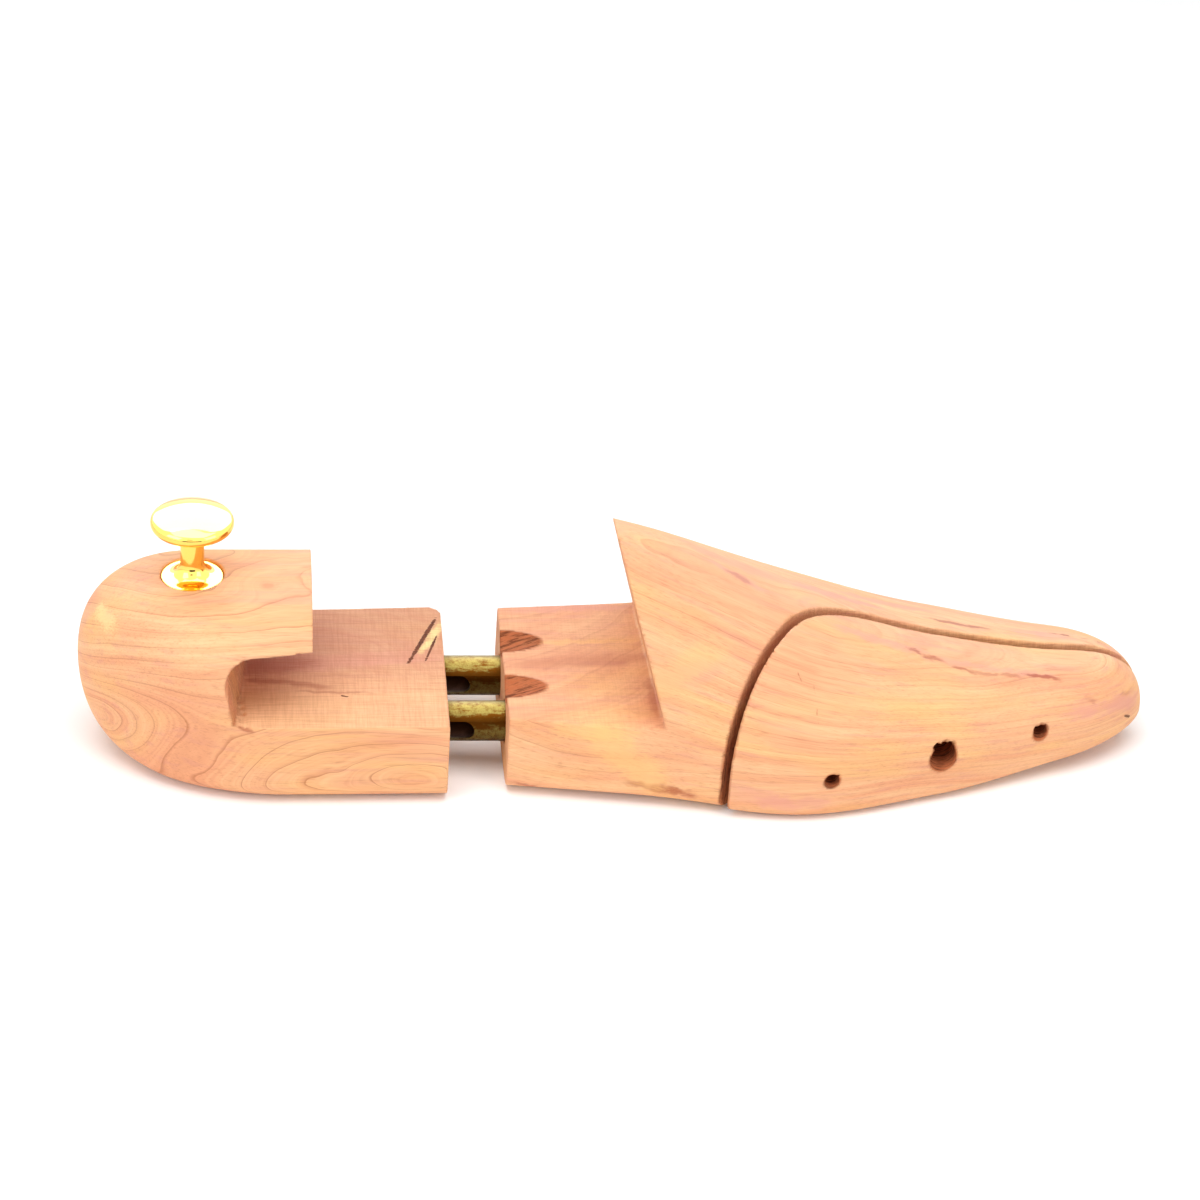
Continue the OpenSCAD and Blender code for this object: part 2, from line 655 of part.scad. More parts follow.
heel_block();
knob();
knob_screw();
guide_tube(1);  // guide_tube_inner
guide_tube(-1);  // guide_tube_outer
heel_spring(1);  // heel_spring_inner
heel_spring(-1);  // heel_spring_outer
cross_pin();
instep_block();
toe_side_block();
guide_pin(0);  // guide_pin_rear
guide_pin(1);  // guide_pin_front
toe_spring();
toe_screw();
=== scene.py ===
"""A cedar shoe tree for a right shoe, dressed around its solid frame.

X runs to the toe, Z up, and minus Y is the outer side. Sizes are kept in metres.
"""
import math

import bmesh
import bpy
import numpy as np
from mathutils import Matrix, Vector, noise


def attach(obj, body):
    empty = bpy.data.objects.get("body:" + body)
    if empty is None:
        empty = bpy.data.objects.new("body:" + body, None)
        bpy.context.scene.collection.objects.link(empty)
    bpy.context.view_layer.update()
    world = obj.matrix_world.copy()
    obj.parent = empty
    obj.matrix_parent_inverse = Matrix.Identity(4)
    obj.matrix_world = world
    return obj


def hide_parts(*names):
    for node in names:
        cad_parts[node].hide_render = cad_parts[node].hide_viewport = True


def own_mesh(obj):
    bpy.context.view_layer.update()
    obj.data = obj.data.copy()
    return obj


bl_info = {
    "name": "Cedar Shoe Tree",
    "version": (1, 0, 0),
    "blender": (4, 5, 0),
    "location": "View3D > Sidebar > Shoe Tree",
    "description": "Carves the cedar blocks and turns the brass of a sprung shoe tree",
    "category": "Add Mesh",
}

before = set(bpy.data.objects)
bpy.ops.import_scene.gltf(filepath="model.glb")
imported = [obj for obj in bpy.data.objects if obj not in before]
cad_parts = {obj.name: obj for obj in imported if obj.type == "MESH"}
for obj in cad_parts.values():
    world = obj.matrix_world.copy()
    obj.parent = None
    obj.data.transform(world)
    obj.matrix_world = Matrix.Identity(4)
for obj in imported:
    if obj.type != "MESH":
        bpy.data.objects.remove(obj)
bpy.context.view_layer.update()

MM = 0.001
# Longer than the whole shoe tree: how far open-ended cutters reach
FAR = 0.3
# Clear of a block's side: where bores across it start or end
BESIDE = 0.075
# Squareness of a carved section's upper and lower half: 2 is an ellipse
HEEL_CROWN, HEEL_TAIL_SOLE, HEEL_SOLE = 3.3, 2.3, 5.2
INSTEP_CROWN, TOE_CROWN = 1.93, 2.16
WAIST_SOLE, BALL_SOLE, TOE_SOLE = 5.4, 7.5, 2.2
# Roundness of a block's end in plan and in side view
PLAN_ROUND, HEEL_SIDE_ROUND, TOE_SIDE_ROUND = 2.2, 3.5, 3.0
# Points round a block before it is softened, and steps along it
AROUND, LENGTHWISE = 220, 240
# Size of a softened block's faces, and how many rounds it is softened
HEEL_FACE, INSTEP_FACE, SIDE_FACE, SOFTENING = 0.64 * MM, 0.74 * MM, 0.62 * MM, 2
# An edge bent more than this is a fold
FOLD = math.radians(118)


def linear(hexadecimal):
    """A colour given as it is seen on a screen, as the linear colour that shaders take."""
    parts = [int(hexadecimal[i:i + 2], 16) / 255 for i in (1, 3, 5)]
    return tuple(c / 12.92 if c <= 0.04045 else ((c + 0.055) / 1.055) ** 2.4 for c in parts)


def size(name, millimetres, text):
    """A length property, or a row of them, given in millimetres."""
    if isinstance(millimetres, (tuple, list)):
        return bpy.props.FloatVectorProperty(
            name=name, description=text, size=len(millimetres), precision=4, unit="LENGTH",
            default=tuple(v * MM for v in millimetres))
    return bpy.props.FloatProperty(
        name=name, description=text, default=millimetres * MM, precision=4, unit="LENGTH", subtype="DISTANCE")


def slant(name, degrees, text):
    """An angle property, given in degrees."""
    return bpy.props.FloatProperty(
        name=name, description=text, default=math.radians(degrees), unit="ROTATION", subtype="ANGLE")


def tint(name, hexadecimal, text):
    """A colour property."""
    return bpy.props.FloatVectorProperty(
        name=name, description=text, size=3, min=0, max=1, subtype="COLOR", default=linear(hexadecimal))


class HeelSizes(bpy.types.PropertyGroup):
    places: size("Places", (-53, 0, 46), "Where widths are given, from the back to the front")
    outer: size("Outer widths", (17.5, 32.2, 31.5), "Half-width on the outer side at each place")
    inner: size("Inner widths", (26.4, 27, 29), "Half-width on the inner side at each place")
    crown: size("Crown", 53, "Height of the crown")
    widest: size("Widest line", (28.5, 12.6, 12), "Its height at the back, halfway and in front")
    shave: size("Shave", 0.6, "How far the sole is shaved flat")
    rounding: size("Rounding", 36, "Length over which the back is rounded")
    shelf: size("Shelf", 24.5, "Height of the flat shelf")
    overhang: size("Overhang", 9.4, "How far the overhang reaches forward")
    notch_foot: size("Notch foot", 8, "How far back the notch's foot lies")
    notch_radius: size("Notch radius", 8, "Radius of the notch's upper corner")
    notch_height: size("Notch height", 18.8, "Clear height of the notch at that corner")
    notch_hollow: size("Notch hollow", 2.6, "How far the back wall is hollowed behind its foot")
    notch_rise: slant("Notch rise", 6, "Rise of the notch's ceiling")
    notch_skew: slant("Notch skew", 5.6, "Turn of the notch seen from above")
    notch_low: slant("Notch low turn", 25, "Where the hollow wall runs into its foot")


class ForepartSizes(bpy.types.PropertyGroup):
    places: size("Places", (62, 100, 140, 180, 220, 242), "Where widths are given, from the rear to the toe")
    outer: size("Outer widths", (27.8, 33.4, 38.8, 29.6, 15.8, 9.6), "Half-width on the outer side")
    inner: size("Inner widths", (29, 32.6, 40.4, 38, 31, 26.4), "Half-width on the inner side")
    crest: size("Crest", (76, 64.8, 47.5, 34, 27.2, 26.5), "Height of the crest")
    sole: size("Sole", (0, 1, -0.6, -0.6, 2.25, 4.5), "Height of the sole")
    middle: size("Middle", (0, 1, 5), "Sideways place of the middle at the rear, the ball and the toe")
    widest: size("Widest line", (12, 10), "Height of the widest line at the rear and the toe")
    rounding: size("Rounding", 26, "Length over which the toe is rounded")
    shelf: size("Shelf", 24.5, "Height of the flat shelf")
    cut_at: size("Rear cut", 40, "Distance from the rear face to the instep's rear cut")
    cut_lean: slant("Rear cut lean", 15.3, "Lean of that cut over the shelf")
    cut_skew: slant("Rear cut skew", 2.8, "Turn of that cut seen from above")
    channel: size("Channel", 11.5, "Diameter of the two vent channels")
    channel_run: size("Channel run", 10.6, "Length of the channels on the shelf")
    channel_slope: slant("Channel slope", 21, "Slope of the channels' floors")


class SplitSizes(bpy.types.PropertyGroup):
    kerf: size("Saw cut", 1.5, "Width of the saw cut that frees the side piece")
    spread: size("Spread", 1.4, "How far the side piece is sprung out")
    bend_radius: size("Bend", 38.4, "Radius of the saw cut's bend")
    bend_centre: size("Bend centre", (167.9, -36.1), "Centre of that bend, seen from above")
    entry: slant("Entry", 53.8, "Direction of the saw cut where it enters")
    exit: slant("Exit", 3.9, "Direction of the saw cut where it leaves")
    pins: size("Pins", (148.4, 208.6), "Places of the two guide pins")
    screw: size("Screw", 180, "Place of the screw and its spring")
    row_height: size("Row height", 14.2, "Height of the row of holes at the screw")
    row_rise: slant("Row rise", 2.5, "Rise of the row of holes")
    pin: size("Pin", 4, "Diameter of the guide pins")
    pin_set: size("Pin set", 14, "Length of the pins in the main block")
    pin_run: size("Pin run", 15, "Length of the pins in the side piece")
    counterbore: size("Counterbore", 7.5, "Diameter of the hole that the screw's head sits in")
    shank: size("Shank", 3.6, "Diameter of the screw's shank")
    pocket: size("Pocket", 8.6, "Diameter of the spring's pockets")
    pocket_side: size("Side pocket", 9, "Depth of the pocket in the side piece")
    pocket_main: size("Main pocket", 4, "Depth of the pocket in the main block")
    web: size("Web", 9, "Wood between the screw's head and the spring")
    screw_set: size("Screw set", 12, "Length of the screw in the main block")
    head: size("Head", (7, 2.6), "Diameter and thickness of the screw's head")


class MetalSizes(bpy.types.PropertyGroup):
    tube: size("Tube", 11, "Outer diameter of the guide tubes")
    wall: size("Wall", 0.8, "Wall of the guide tubes")
    spacing: size("Spacing", 22.4, "Distance between the tubes")
    height: size("Height", 13.2, "Height of the tubes")
    ends: size("Ends", (24.68, 104), "Rear and front end of the tubes")
    slot: size("Slot", (29.68, 53.6, 5.6), "Rear end, front end and width of the slots")
    spring_room: size("Spring room", (-17.32, 24.68), "Rear and front end of the heel springs' room")
    spring: size("Heel spring", (9.6, 1), "Diameter and wire of the heel springs")
    toe_spring: size("Toe spring", (7.8, 0.9), "Diameter and wire of the toe spring")
    knob_at: size("Knob", (-22.3, 51.4), "Place and seat of the knob")
    knob: size("Knob head", (22.2, 8, 2, 17.4), "Diameter, thickness, rim radius and height of the head")
    neck: size("Neck", 6.4, "Diameter of the neck")
    flange: size("Flange", (16.5, 0.9, 4.6), "Diameter and thickness of the flange, and the trumpet's radius")
    seat_room: size("Seat room", 0.25, "Room round the flange in its seat")
    hanger: size("Hanger screw", (4, 18, 9), "Diameter, length in the wood and length in the knob")
    cross_pin: size("Cross pin", (31.5, 3.6, -21.68, 26.8), "Place, diameter and two ends of the cross pin")
    play: size("Play", 0.05, "Play round the tubes in the heel")


class CedarTones(bpy.types.PropertyGroup):
    pale: tint("Pale", "#f3c192", "Pale wood between the growth lines")
    warm: tint("Warm", "#eaa87f", "Warm wood towards a growth line")
    honey: tint("Honey", "#f4c07c", "Yellow patches")
    line: tint("Growth line", "#a55a35", "Growth line")
    rose: tint("Rose", "#dc9a86", "Rose streaks of the heartwood")
    plum: tint("Plum", "#9e4630", "Darkest flecks of the heartwood")
    sapwood: tint("Sapwood", "#f3dc9c", "Pale sapwood")
    shelf: tint("Sawn shelf", "#c28977", "Sawn face of the heel's shelf")
    # This end-grain tone and the bark tone below it also serve as painted shade low in the saw cut
    bored: tint("Bored", "#b8663f", "Bored end grain")
    bark: tint("Bark", "#4c2210", "Cracks, knots and torn end grain")


class MetalTones(bpy.types.PropertyGroup):
    knob: tint("Knob", "#f8cf68", "Polished brass of the knob")
    tube: tint("Tube", "#6a5e30", "Dull brass of the tubes")
    inside: tint("Inside", "#2c1508", "Blackened inside of the tubes")
    # Dark brass for tarnished spots, and for the painted dark reflection band on the tubes
    tarnish_and_reflection: tint("Tarnish", "#4e2c08", "Tarnish on the tubes")
    # Nearly black tone that paints shade inside the tubes' bores
    steel: tint("Steel", "#a9a9ab", "Steel of the pins and springs")


class StudioSettings(bpy.types.PropertyGroup):
    anchor: size("Anchor", (46, -31.5, 24.5), "The shelf corner that the camera is set out from")
    anchor_x: bpy.props.FloatProperty(
        name="Anchor across", description="Where that corner stands in a frame of 1200", default=450.5)
    anchor_y: bpy.props.FloatProperty(name="Anchor down", description="How far down it stands", default=728.3)
    scale: size("Scale", 0.265, "Length that one part of that frame covers at the anchor")
    lens: bpy.props.FloatProperty(name="Lens", description="Focal length for a sensor of 36 mm", default=105)
    pitch: slant("Pitch", 32, "How steeply the camera looks down")
    yaw: slant("Yaw", 7, "How far it looks towards the toe")
    roll: slant("Roll", 4, "How far it is tilted")


# ---------------------------------------------------------------- carving

def eased(places, values, x):
    """Smooth curve through values at places, with no overshoot between them."""
    places, values = np.asarray(places, float), np.asarray(values, float)
    steps = np.diff(values) / np.diff(places)
    slopes = np.concatenate(([steps[0]], np.zeros(len(steps) - 1), [steps[-1]]))
    for i, (a, b) in enumerate(zip(steps[:-1], steps[1:]), 1):
        slopes[i] = 0 if a * b <= 0 else 2 * a * b / (a + b)
    i = np.clip(np.searchsorted(places, x) - 1, 0, len(steps) - 1)
    h = places[i + 1] - places[i]
    u = np.clip((x - places[i]) / h, 0, 1)
    return ((1 - u) ** 2 * ((1 + 2 * u) * values[i] + u * h * slopes[i])
            + u ** 2 * ((3 - 2 * u) * values[i + 1] - (1 - u) * h * slopes[i + 1]))


def end_share(into, power):
    """Share of the full size that is left at a distance into a rounded end."""
    return (1 - np.clip(into, 0, 1) ** power) ** (1 / PLAN_ROUND)


def section(angle, middle, outer, inner, widest, sole, crest, crown_power, sole_power):
    """Sideways place and height of points round carved sections."""
    power = 2 / np.where(np.sin(angle) >= 0, crown_power, sole_power)
    y = np.sign(np.cos(angle)) * np.abs(np.cos(angle)) ** power
    z = np.sign(np.sin(angle)) * np.abs(np.sin(angle)) ** power
    return (middle + y * np.where(y > 0, inner - middle, outer + middle),
            widest + z * np.where(z > 0, crest - widest, widest - sole))


def stretch(start, end, rounding, share):
    """Places along a block, drawn closer together round its end."""
    turn = end - math.copysign(rounding, end - start)
    straight = 1 - abs(rounding / (end - start)) * 1.3
    bend = np.clip((share - straight) / (1 - straight), 0, 1)
    return np.where(share < straight, start + (turn - start) * share / straight,
                    turn + (end - turn) * np.sin(bend * math.pi / 2))


def heel_form(s, angle, share):
    """Points of the heel's full form."""
    back, front = s.places[0], s.places[2]
    x = stretch(front, back, s.rounding, share)
    into = (back + s.rounding - x) / s.rounding
    wide, tall = end_share(into, PLAN_ROUND), end_share(into, HEEL_SIDE_ROUND)
    widest = eased((back, back / 2, front), s.widest, x)
    sole_power = eased((back, back / 2, 0), (HEEL_TAIL_SOLE, HEEL_SOLE - 1, HEEL_SOLE), x)
    y, z = section(angle, 0 * x, eased(s.places, s.outer, x) * wide, eased(s.places, s.inner, x) * wide,
                   widest, widest - (widest + s.shave) * tall, widest + (s.crown - widest) * tall,
                   HEEL_CROWN, sole_power)
    return x, y, z


def fore_form(s, angle, share):
    """Points of the forepart's full form."""
    rear, tip, ball = s.places[0], s.places[5], s.places[2]
    x = stretch(rear, tip, s.rounding, share)
    into = (x - tip + s.rounding) / s.rounding
    wide, tall = end_share(into, PLAN_ROUND), end_share(into, TOE_SIDE_ROUND)
    middle = eased((rear, ball, tip), s.middle, x)
    widest = eased((rear, tip), s.widest, x)
    y, z = section(angle, middle, (eased(s.places, s.outer, x) + middle) * wide - middle,
                   middle + (eased(s.places, s.inner, x) - middle) * wide, widest,
                   widest + (eased(s.places, s.sole, x) - widest) * tall,
                   widest + (eased(s.places, s.crest, x) - widest) * tall,
                   eased((rear, tip), (INSTEP_CROWN, TOE_CROWN), x),
                   eased((rear, ball, tip), (WAIST_SOLE, BALL_SOLE, TOE_SOLE), x))
    return x, y, z


def new_object(bm, name):
    """Makes an object of a finished mesh, faces outwards."""
    bmesh.ops.recalc_face_normals(bm, faces=bm.faces)
    mesh = bpy.data.meshes.new(name)
    bm.to_mesh(mesh)
    bm.free()
    obj = bpy.data.objects.new(name, mesh)
    bpy.context.scene.collection.objects.link(obj)
    return obj


def carved(name, form, sizes):
    """A grid wrapped round a form, its seam and its ends merged; its first row closes the flat end."""
    bm = bmesh.new()
    bmesh.ops.create_grid(bm, x_segments=AROUND, y_segments=LENGTHWISE, size=1)
    flat = np.array([v.co for v in bm.verts], float)
    column = np.round((flat[:, 0] + 1) / 2 * AROUND) % AROUND
    row = np.round((flat[:, 1] + 1) / 2 * LENGTHWISE)
    angle, share = column * 2 * math.pi / AROUND, np.maximum(row - 1, 0) / (LENGTHWISE - 1)
    places = np.stack(form(sizes, angle, share), 1)
    places[row == 0] = places[row == 0].mean(0)
    for v, place in zip(bm.verts, places):
        v.co = place
    bmesh.ops.remove_doubles(bm, verts=bm.verts, dist=1e-6)
    return new_object(bm, name)


def rod(start, end, radius, sides=96):
    """A round bar between two points."""
    start, end = Vector(start), Vector(end)
    bm = bmesh.new()
    turn = (end - start).to_track_quat("Z", "Y").to_matrix().to_4x4()
    bmesh.ops.create_cone(bm, cap_ends=True, segments=sides, radius1=radius, radius2=radius,
                          depth=(end - start).length, matrix=Matrix.Translation((start + end) / 2) @ turn)
    return new_object(bm, "rod")


def prism(outline, way, turn=Matrix.Identity(4)):
    """A flat outline drawn out along a way, then turned into place."""
    bm = bmesh.new()
    face = bm.faces.new([bm.verts.new(p) for p in outline])
    grown = bmesh.ops.extrude_face_region(bm, geom=[face])["geom"]
    bmesh.ops.translate(bm, vec=way, verts=[g for g in grown if isinstance(g, bmesh.types.BMVert)])
    bmesh.ops.transform(bm, matrix=turn, verts=bm.verts)
    return new_object(bm, "prism")


def slab(rear, front, low):
    """A wide block between two places along X, drawn up from a height."""
    return prism([Vector((x, y, low)) for x, y in ((rear, -FAR), (front, -FAR), (front, FAR), (rear, FAR))],
                 (0, 0, FAR))


def keyway(rear, front, low, high, start, run):
    """A rectangle seen from the side, drawn out along Y."""
    return prism([Vector((x, start, z)) for x, z in ((rear, low), (front, low), (front, high), (rear, high))],
                 (0, run, 0))


def chip(centre, reach, seed, ragged=0.35):
    """A small ragged lump, used to tear the edge of a cut."""
    bm = bmesh.new()
    bmesh.ops.create_icosphere(bm, subdivisions=3, radius=1)
    for v in bm.verts:
        way = v.co.normalized()
        v.co = way * (1 + ragged * noise.noise(way * 2.3 + Vector((seed, 0, 0))))
    bmesh.ops.scale(bm, vec=reach, verts=bm.verts)
    bmesh.ops.translate(bm, vec=centre, verts=bm.verts)
    return new_object(bm, "chip")


def shaped(body, cutters, face=None, meet=()):
    """Cuts a body, keeps what meets others, and with a face size softens its edges; uses up the helpers."""
    for kind, tools in (("INTERSECT", meet), ("DIFFERENCE", cutters)):
        for tool in tools:
            step = body.modifiers.new("cut", "BOOLEAN")
            step.object, step.operation, step.solver = tool, kind, "MANIFOLD"
    if face:
        step = body.modifiers.new("even", "REMESH")
        step.mode, step.octree_depth, step.sharpness = "SHARP", 8, 1
        step.scale = np.ptp(places_of(body.data)[0], axis=0).max() / 2 ** step.octree_depth / face
        step = body.modifiers.new("soft", "SMOOTH")
        step.factor, step.iterations = 0.5, SOFTENING
    bpy.context.view_layer.update()
    finished = bpy.data.meshes.new_from_object(body.evaluated_get(bpy.context.evaluated_depsgraph_get()))
    body.modifiers.clear()
    spent, body.data = body.data, finished
    bpy.data.meshes.remove(spent)
    for tool in (*cutters, *meet):
        bpy.data.objects.remove(tool)
    finished.name = body.name
    if face:
        heal(finished)
    return body


def move(obj, way):
    """Moves a piece's points."""
    bm = bmesh.new()
    bm.from_mesh(obj.data)
    bmesh.ops.translate(bm, vec=way, verts=bm.verts)
    bm.to_mesh(obj.data)
    bm.free()


def heal(mesh):
    """Opens and closes again the few spots where an evened skin touches itself, and smooths its folds."""
    bm = bmesh.new()
    bm.from_mesh(mesh)
    touching = {v for e in bm.edges if not e.is_manifold for v in e.verts}
    bmesh.ops.delete(bm, geom=list(touching), context="VERTS")
    bmesh.ops.holes_fill(bm, edges=[e for e in bm.edges if e.is_boundary], sides=0)
    bmesh.ops.triangulate(bm, faces=[f for f in bm.faces if len(f.verts) > 4])
    for _ in range(8):
        bm.normal_update()
        folded = {v for e in bm.edges if e.is_manifold and e.calc_face_angle() > FOLD for v in e.verts}
        around = folded | {e.other_vert(v) for v in folded for e in v.link_edges}
        bmesh.ops.smooth_vert(bm, verts=list(around), factor=0.5, use_axis_x=True, use_axis_y=True,
                              use_axis_z=True)
    bm.to_mesh(mesh)
    bm.free()


def places_of(mesh):
    """Points and normals of a mesh, as arrays in metres."""
    co, no = np.zeros(len(mesh.vertices) * 3), np.zeros(len(mesh.vertices) * 3)
    mesh.vertices.foreach_get("co", co)
    mesh.vertex_normals.foreach_get("vector", no)
    return co.reshape(-1, 3), no.reshape(-1, 3)


def note(mesh, name, values):
    """Keeps a share from 0 to 1 at each point, for the material to read."""
    layer = mesh.attributes.new(name, "FLOAT", "POINT")
    layer.data.foreach_set("value", np.clip(values, 0, 1).astype(np.float32))


def near_axis(co, point, way, radius, reach):
    """1 on the wall of a bore, falling to 0 at a short reach from it."""
    way = np.asarray(Vector(way).normalized())
    off = co - np.asarray(point, float)
    off = off - np.outer(off @ way, way)
    return np.clip(1 - (np.linalg.norm(off, axis=1) - radius) / reach, 0, 1)


def finish(obj, material, body, slot, *nodes):
    """Gives a piece its material, its body and the solids that it stands for."""
    obj.data.materials.clear()
    obj.data.materials.append(material)
    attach(obj, body)
    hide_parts(*nodes)


# ---------------------------------------------------------------- materials

class Wire:
    """An output of a material's nodes that takes part in sums as a number does."""

    def __init__(self, bench, socket):
        self.bench, self.socket = bench, socket

    def math(self, operation, first, second):
        return self.bench.add("ShaderNodeMath", {"operation": operation}, {0: first, 1: second})

    def __add__(self, other):
        return self.math("ADD", self, other)

    def __sub__(self, other):
        return self.math("SUBTRACT", self, other)

    def __rsub__(self, other):
        return self.math("SUBTRACT", other, self)

    def __mul__(self, other):
        return self.math("MULTIPLY", self, other)

    def __pow__(self, other):
        return self.math("POWER", self, other)

    __radd__, __rmul__ = __add__, __mul__


class Bench:
    """Where the nodes of one material, or of the world, are put together."""

    def __init__(self, owner):
        owner.use_nodes = True
        self.owner, self.tree = owner, owner.node_tree
        self.tree.nodes.clear()

    def add(self, kind, settings=None, inputs=None, output=0):
        """Adds a node: its settings, then the values or wires of its sockets; gives back one output."""
        node = self.tree.nodes.new(kind)
        for key, value in (settings or {}).items():
            setattr(node, key, value)
        for key, value in (inputs or {}).items():
            if isinstance(value, Wire):
                self.tree.links.new(value.socket, node.inputs[key])
            elif hasattr(value, "__len__") and len(node.inputs[key].default_value) == 4:
                node.inputs[key].default_value = (*tuple(value)[:3], 1)
            else:
                node.inputs[key].default_value = value
        return Wire(self, node.outputs[output]) if len(node.outputs) else None

    def points(self):
        """The place on the object, in millimetres."""
        place = self.add("ShaderNodeTexCoord", output="Object")
        return self.add("ShaderNodeVectorMath", {"operation": "SCALE"}, {0: place, "Scale": 1 / MM})

    def vector(self, operation, first, second):
        return self.add("ShaderNodeVectorMath", {"operation": operation}, {0: first, 1: second},
                        "Value" if operation == "DOT_PRODUCT" else 0)

    def split(self, vector):
        return [self.add("ShaderNodeSeparateXYZ", inputs={0: vector}, output=i) for i in range(3)]

    def join(self, x, y, z):
        return self.add("ShaderNodeCombineXYZ", inputs={0: x, 1: y, 2: z})

    def noise(self, vector, scale=1.0, detail=2.0, rough=0.5, output=0):
        return self.add("ShaderNodeTexNoise", {"noise_dimensions": "3D"},
                        {"Vector": vector, "Scale": scale, "Detail": detail, "Roughness": rough}, output)

    def band(self, value, low, high, to_low=0.0, to_high=1.0):
        """A smooth step from one value to another."""
        return self.add("ShaderNodeMapRange", {"interpolation_type": "SMOOTHSTEP"},
                        {0: value, 1: low, 2: high, 3: to_low, 4: to_high})

    def mix(self, share, first, second):
        return self.add("ShaderNodeMix", {"data_type": "RGBA"}, {0: share, 6: first, 7: second}, 2)

    def read(self, name):
        return self.add("ShaderNodeAttribute", {"attribute_name": name}, output="Fac")

    def fade(self, square):
        """1 at 0, falling to 0 as a squared distance grows."""
        return self.add("ShaderNodeMath", {"operation": "EXPONENT"}, {0: square * -1})

    def blob(self, vector, centre, reach):
        """1 at a centre, fading out over a reach along each axis."""
        off = self.vector("MULTIPLY", self.vector("SUBTRACT", vector, centre), [1 / r for r in reach])
        return self.fade(self.vector("DOT_PRODUCT", off, off))

    def streak(self, vector, start, end, width):
        """1 along a line, fading out over a width across it and past its ends."""
        start, end = Vector(start), Vector(end)
        off = self.vector("SUBTRACT", vector, (start + end) / 2)
        along = self.vector("DOT_PRODUCT", off, (end - start).normalized())
        along = along * along
        across = (self.vector("DOT_PRODUCT", off, off) - along) * (1 / width ** 2)
        along = along * (1 / ((end - start).length / 2 + width) ** 2)
        return self.fade(along * along + across)

    def surface(self, colour, roughness, bump, metallic=0.0, **fixed):
        """The shader itself, with its bump and its fixed values."""
        inputs = {"Base Color": colour, "Roughness": roughness, "Metallic": metallic, "Normal": bump}
        inputs.update({key.replace("_", " "): value for key, value in fixed.items()})
        shader = self.add("ShaderNodeBsdfPrincipled", inputs=inputs)
        self.add("ShaderNodeOutputMaterial", inputs={0: shader})
        return self.owner

    def bump(self, height, distance, strength):
        return self.add("ShaderNodeBump",
                        inputs={"Height": height, "Distance": distance, "Strength": strength})


# ---------------------------------------------------------------- grain of the blocks, in millimetres

# Growth rings: a tilt along each axis and a start, then swirls as centre, reach and strength
HEEL_RINGS = {"tilt": (-0.071, -0.0972, -0.1272), "start": 3.6, "swirls": [
    ((-34.7, -0.7, 17.1), (15.1, 14.1, 10.2), 18.26),
    ((54.6, -38.4, 8.3), (55.7, 8.9, 18.5), 17.81),
    ((31.8, -21.2, 26.0), (71.3, 11.3, 11.7), 5.64),
    ((13.5, 2.5, 38.7), (30.7, 25.2, 12.3), 23.14),
]}
FORE_RINGS = {"tilt": (-0.004, 0.05, -0.24), "start": 24.0, "swirls": [
    ((164, -34, 8), (38, 18, 30), 3.6),
    ((80, -30, 12), (26, 12, 14), -1.6),
    ((84, 0, 78), (26, 30, 30), -1.3),
]}
# Streaks: start, end, width, tone and share
HEEL_STREAKS = [
    ((-8, -3, 24), (44, 4, 24.5), 5, "rose", 0.5),
    ((-8, -8, 24), (14, -12, 24.4), 1.8, "plum", 0.5),
    ((6, -14, 24.4), (26, -15, 24.4), 0.8, "plum", 0.4),
    ((-9, -3, 24), (9, 0, 24.5), 5, "plum", 0.5),
    ((45.6, 19.5, 24.5), (39.6, 4.5, 24.4), 1.5, "sapwood", 1.0),
    ((44.8, 23.5, 24.5), (35.6, -1.2, 24.4), 0.75, "bark", 1.0),
    ((44.6, 14.5, 24.4), (40.6, 0.5, 24.4), 0.45, "bark", 1.0),
    ((17.6, -16, 24.4), (19, -16.6, 24.4), 0.45, "bark", 0.9),
    ((-46.5, -5, 44.4), (-44, -11, 44), 2.8, "sapwood", 0.45),
    ((-11, -31, 25.4), (-7, -31.5, 24.2), 1.1, "plum", 0.6),
]
FORE_STREAKS = [
    ((121, -1.7, 55.8), (127, -3.2, 52.9), 1.2, "plum", 0.8),
    ((115, 0, 58.7), (132, -4.2, 50.6), 1.8, "rose", 0.55),
    ((111, 4, 59.7), (136, 4, 49), 3.0, "rose", 0.45),
    ((102, -29, 38.2), (114, -28, 41), 4, "rose", 0.5),
    ((140, 6.4, 47), (166, 8.6, 37.6), 2.0, "rose", 0.75),
    ((155, 11.8, 40.5), (182, 16, 32), 2.2, "rose", 0.7),
    ((179.4, 9.5, 33.9), (198.4, 10.3, 29.6), 1.0, "plum", 0.7),
    ((204, 12, 28.4), (238, 8.6, 21.6), 2.4, "rose", 0.75),
    ((216, 13, 26.8), (232, 10.5, 24), 0.7, "plum", 0.7),
    ((101.6, -9, 24.3), (101.9, -25, 24.3), 2.6, "plum", 0.4),
    ((64, -1, 24.5), (100, 3, 24.2), 3.6, "plum", 0.34),
    ((66, 26.7, 24.5), (100, 29.7, 24.5), 2.4, "rose", 0.7),
    ((94, -32.6, 7.6), (111, -35, 5.6), 1.7, "plum", 0.75),
    ((63, -27.8, 4), (72, -28.4, 2.4), 1.0, "plum", 0.5),
    ((87, -31, 20.5), (101, -33.6, 9), 6, "honey", 0.55),
    ((128, -16, 44), (146, 2, 45), 2.5, "rose", 0.4),
    ((75, -29, 22), (96, -31, 22.5), 3, "honey", 0.5),
    ((68, 10, 24.5), (98, 12, 24.5), 1.4, "honey", 0.5),
    ((92, -28, 30), (116, -26, 46), 5, "honey", 0.4),
]
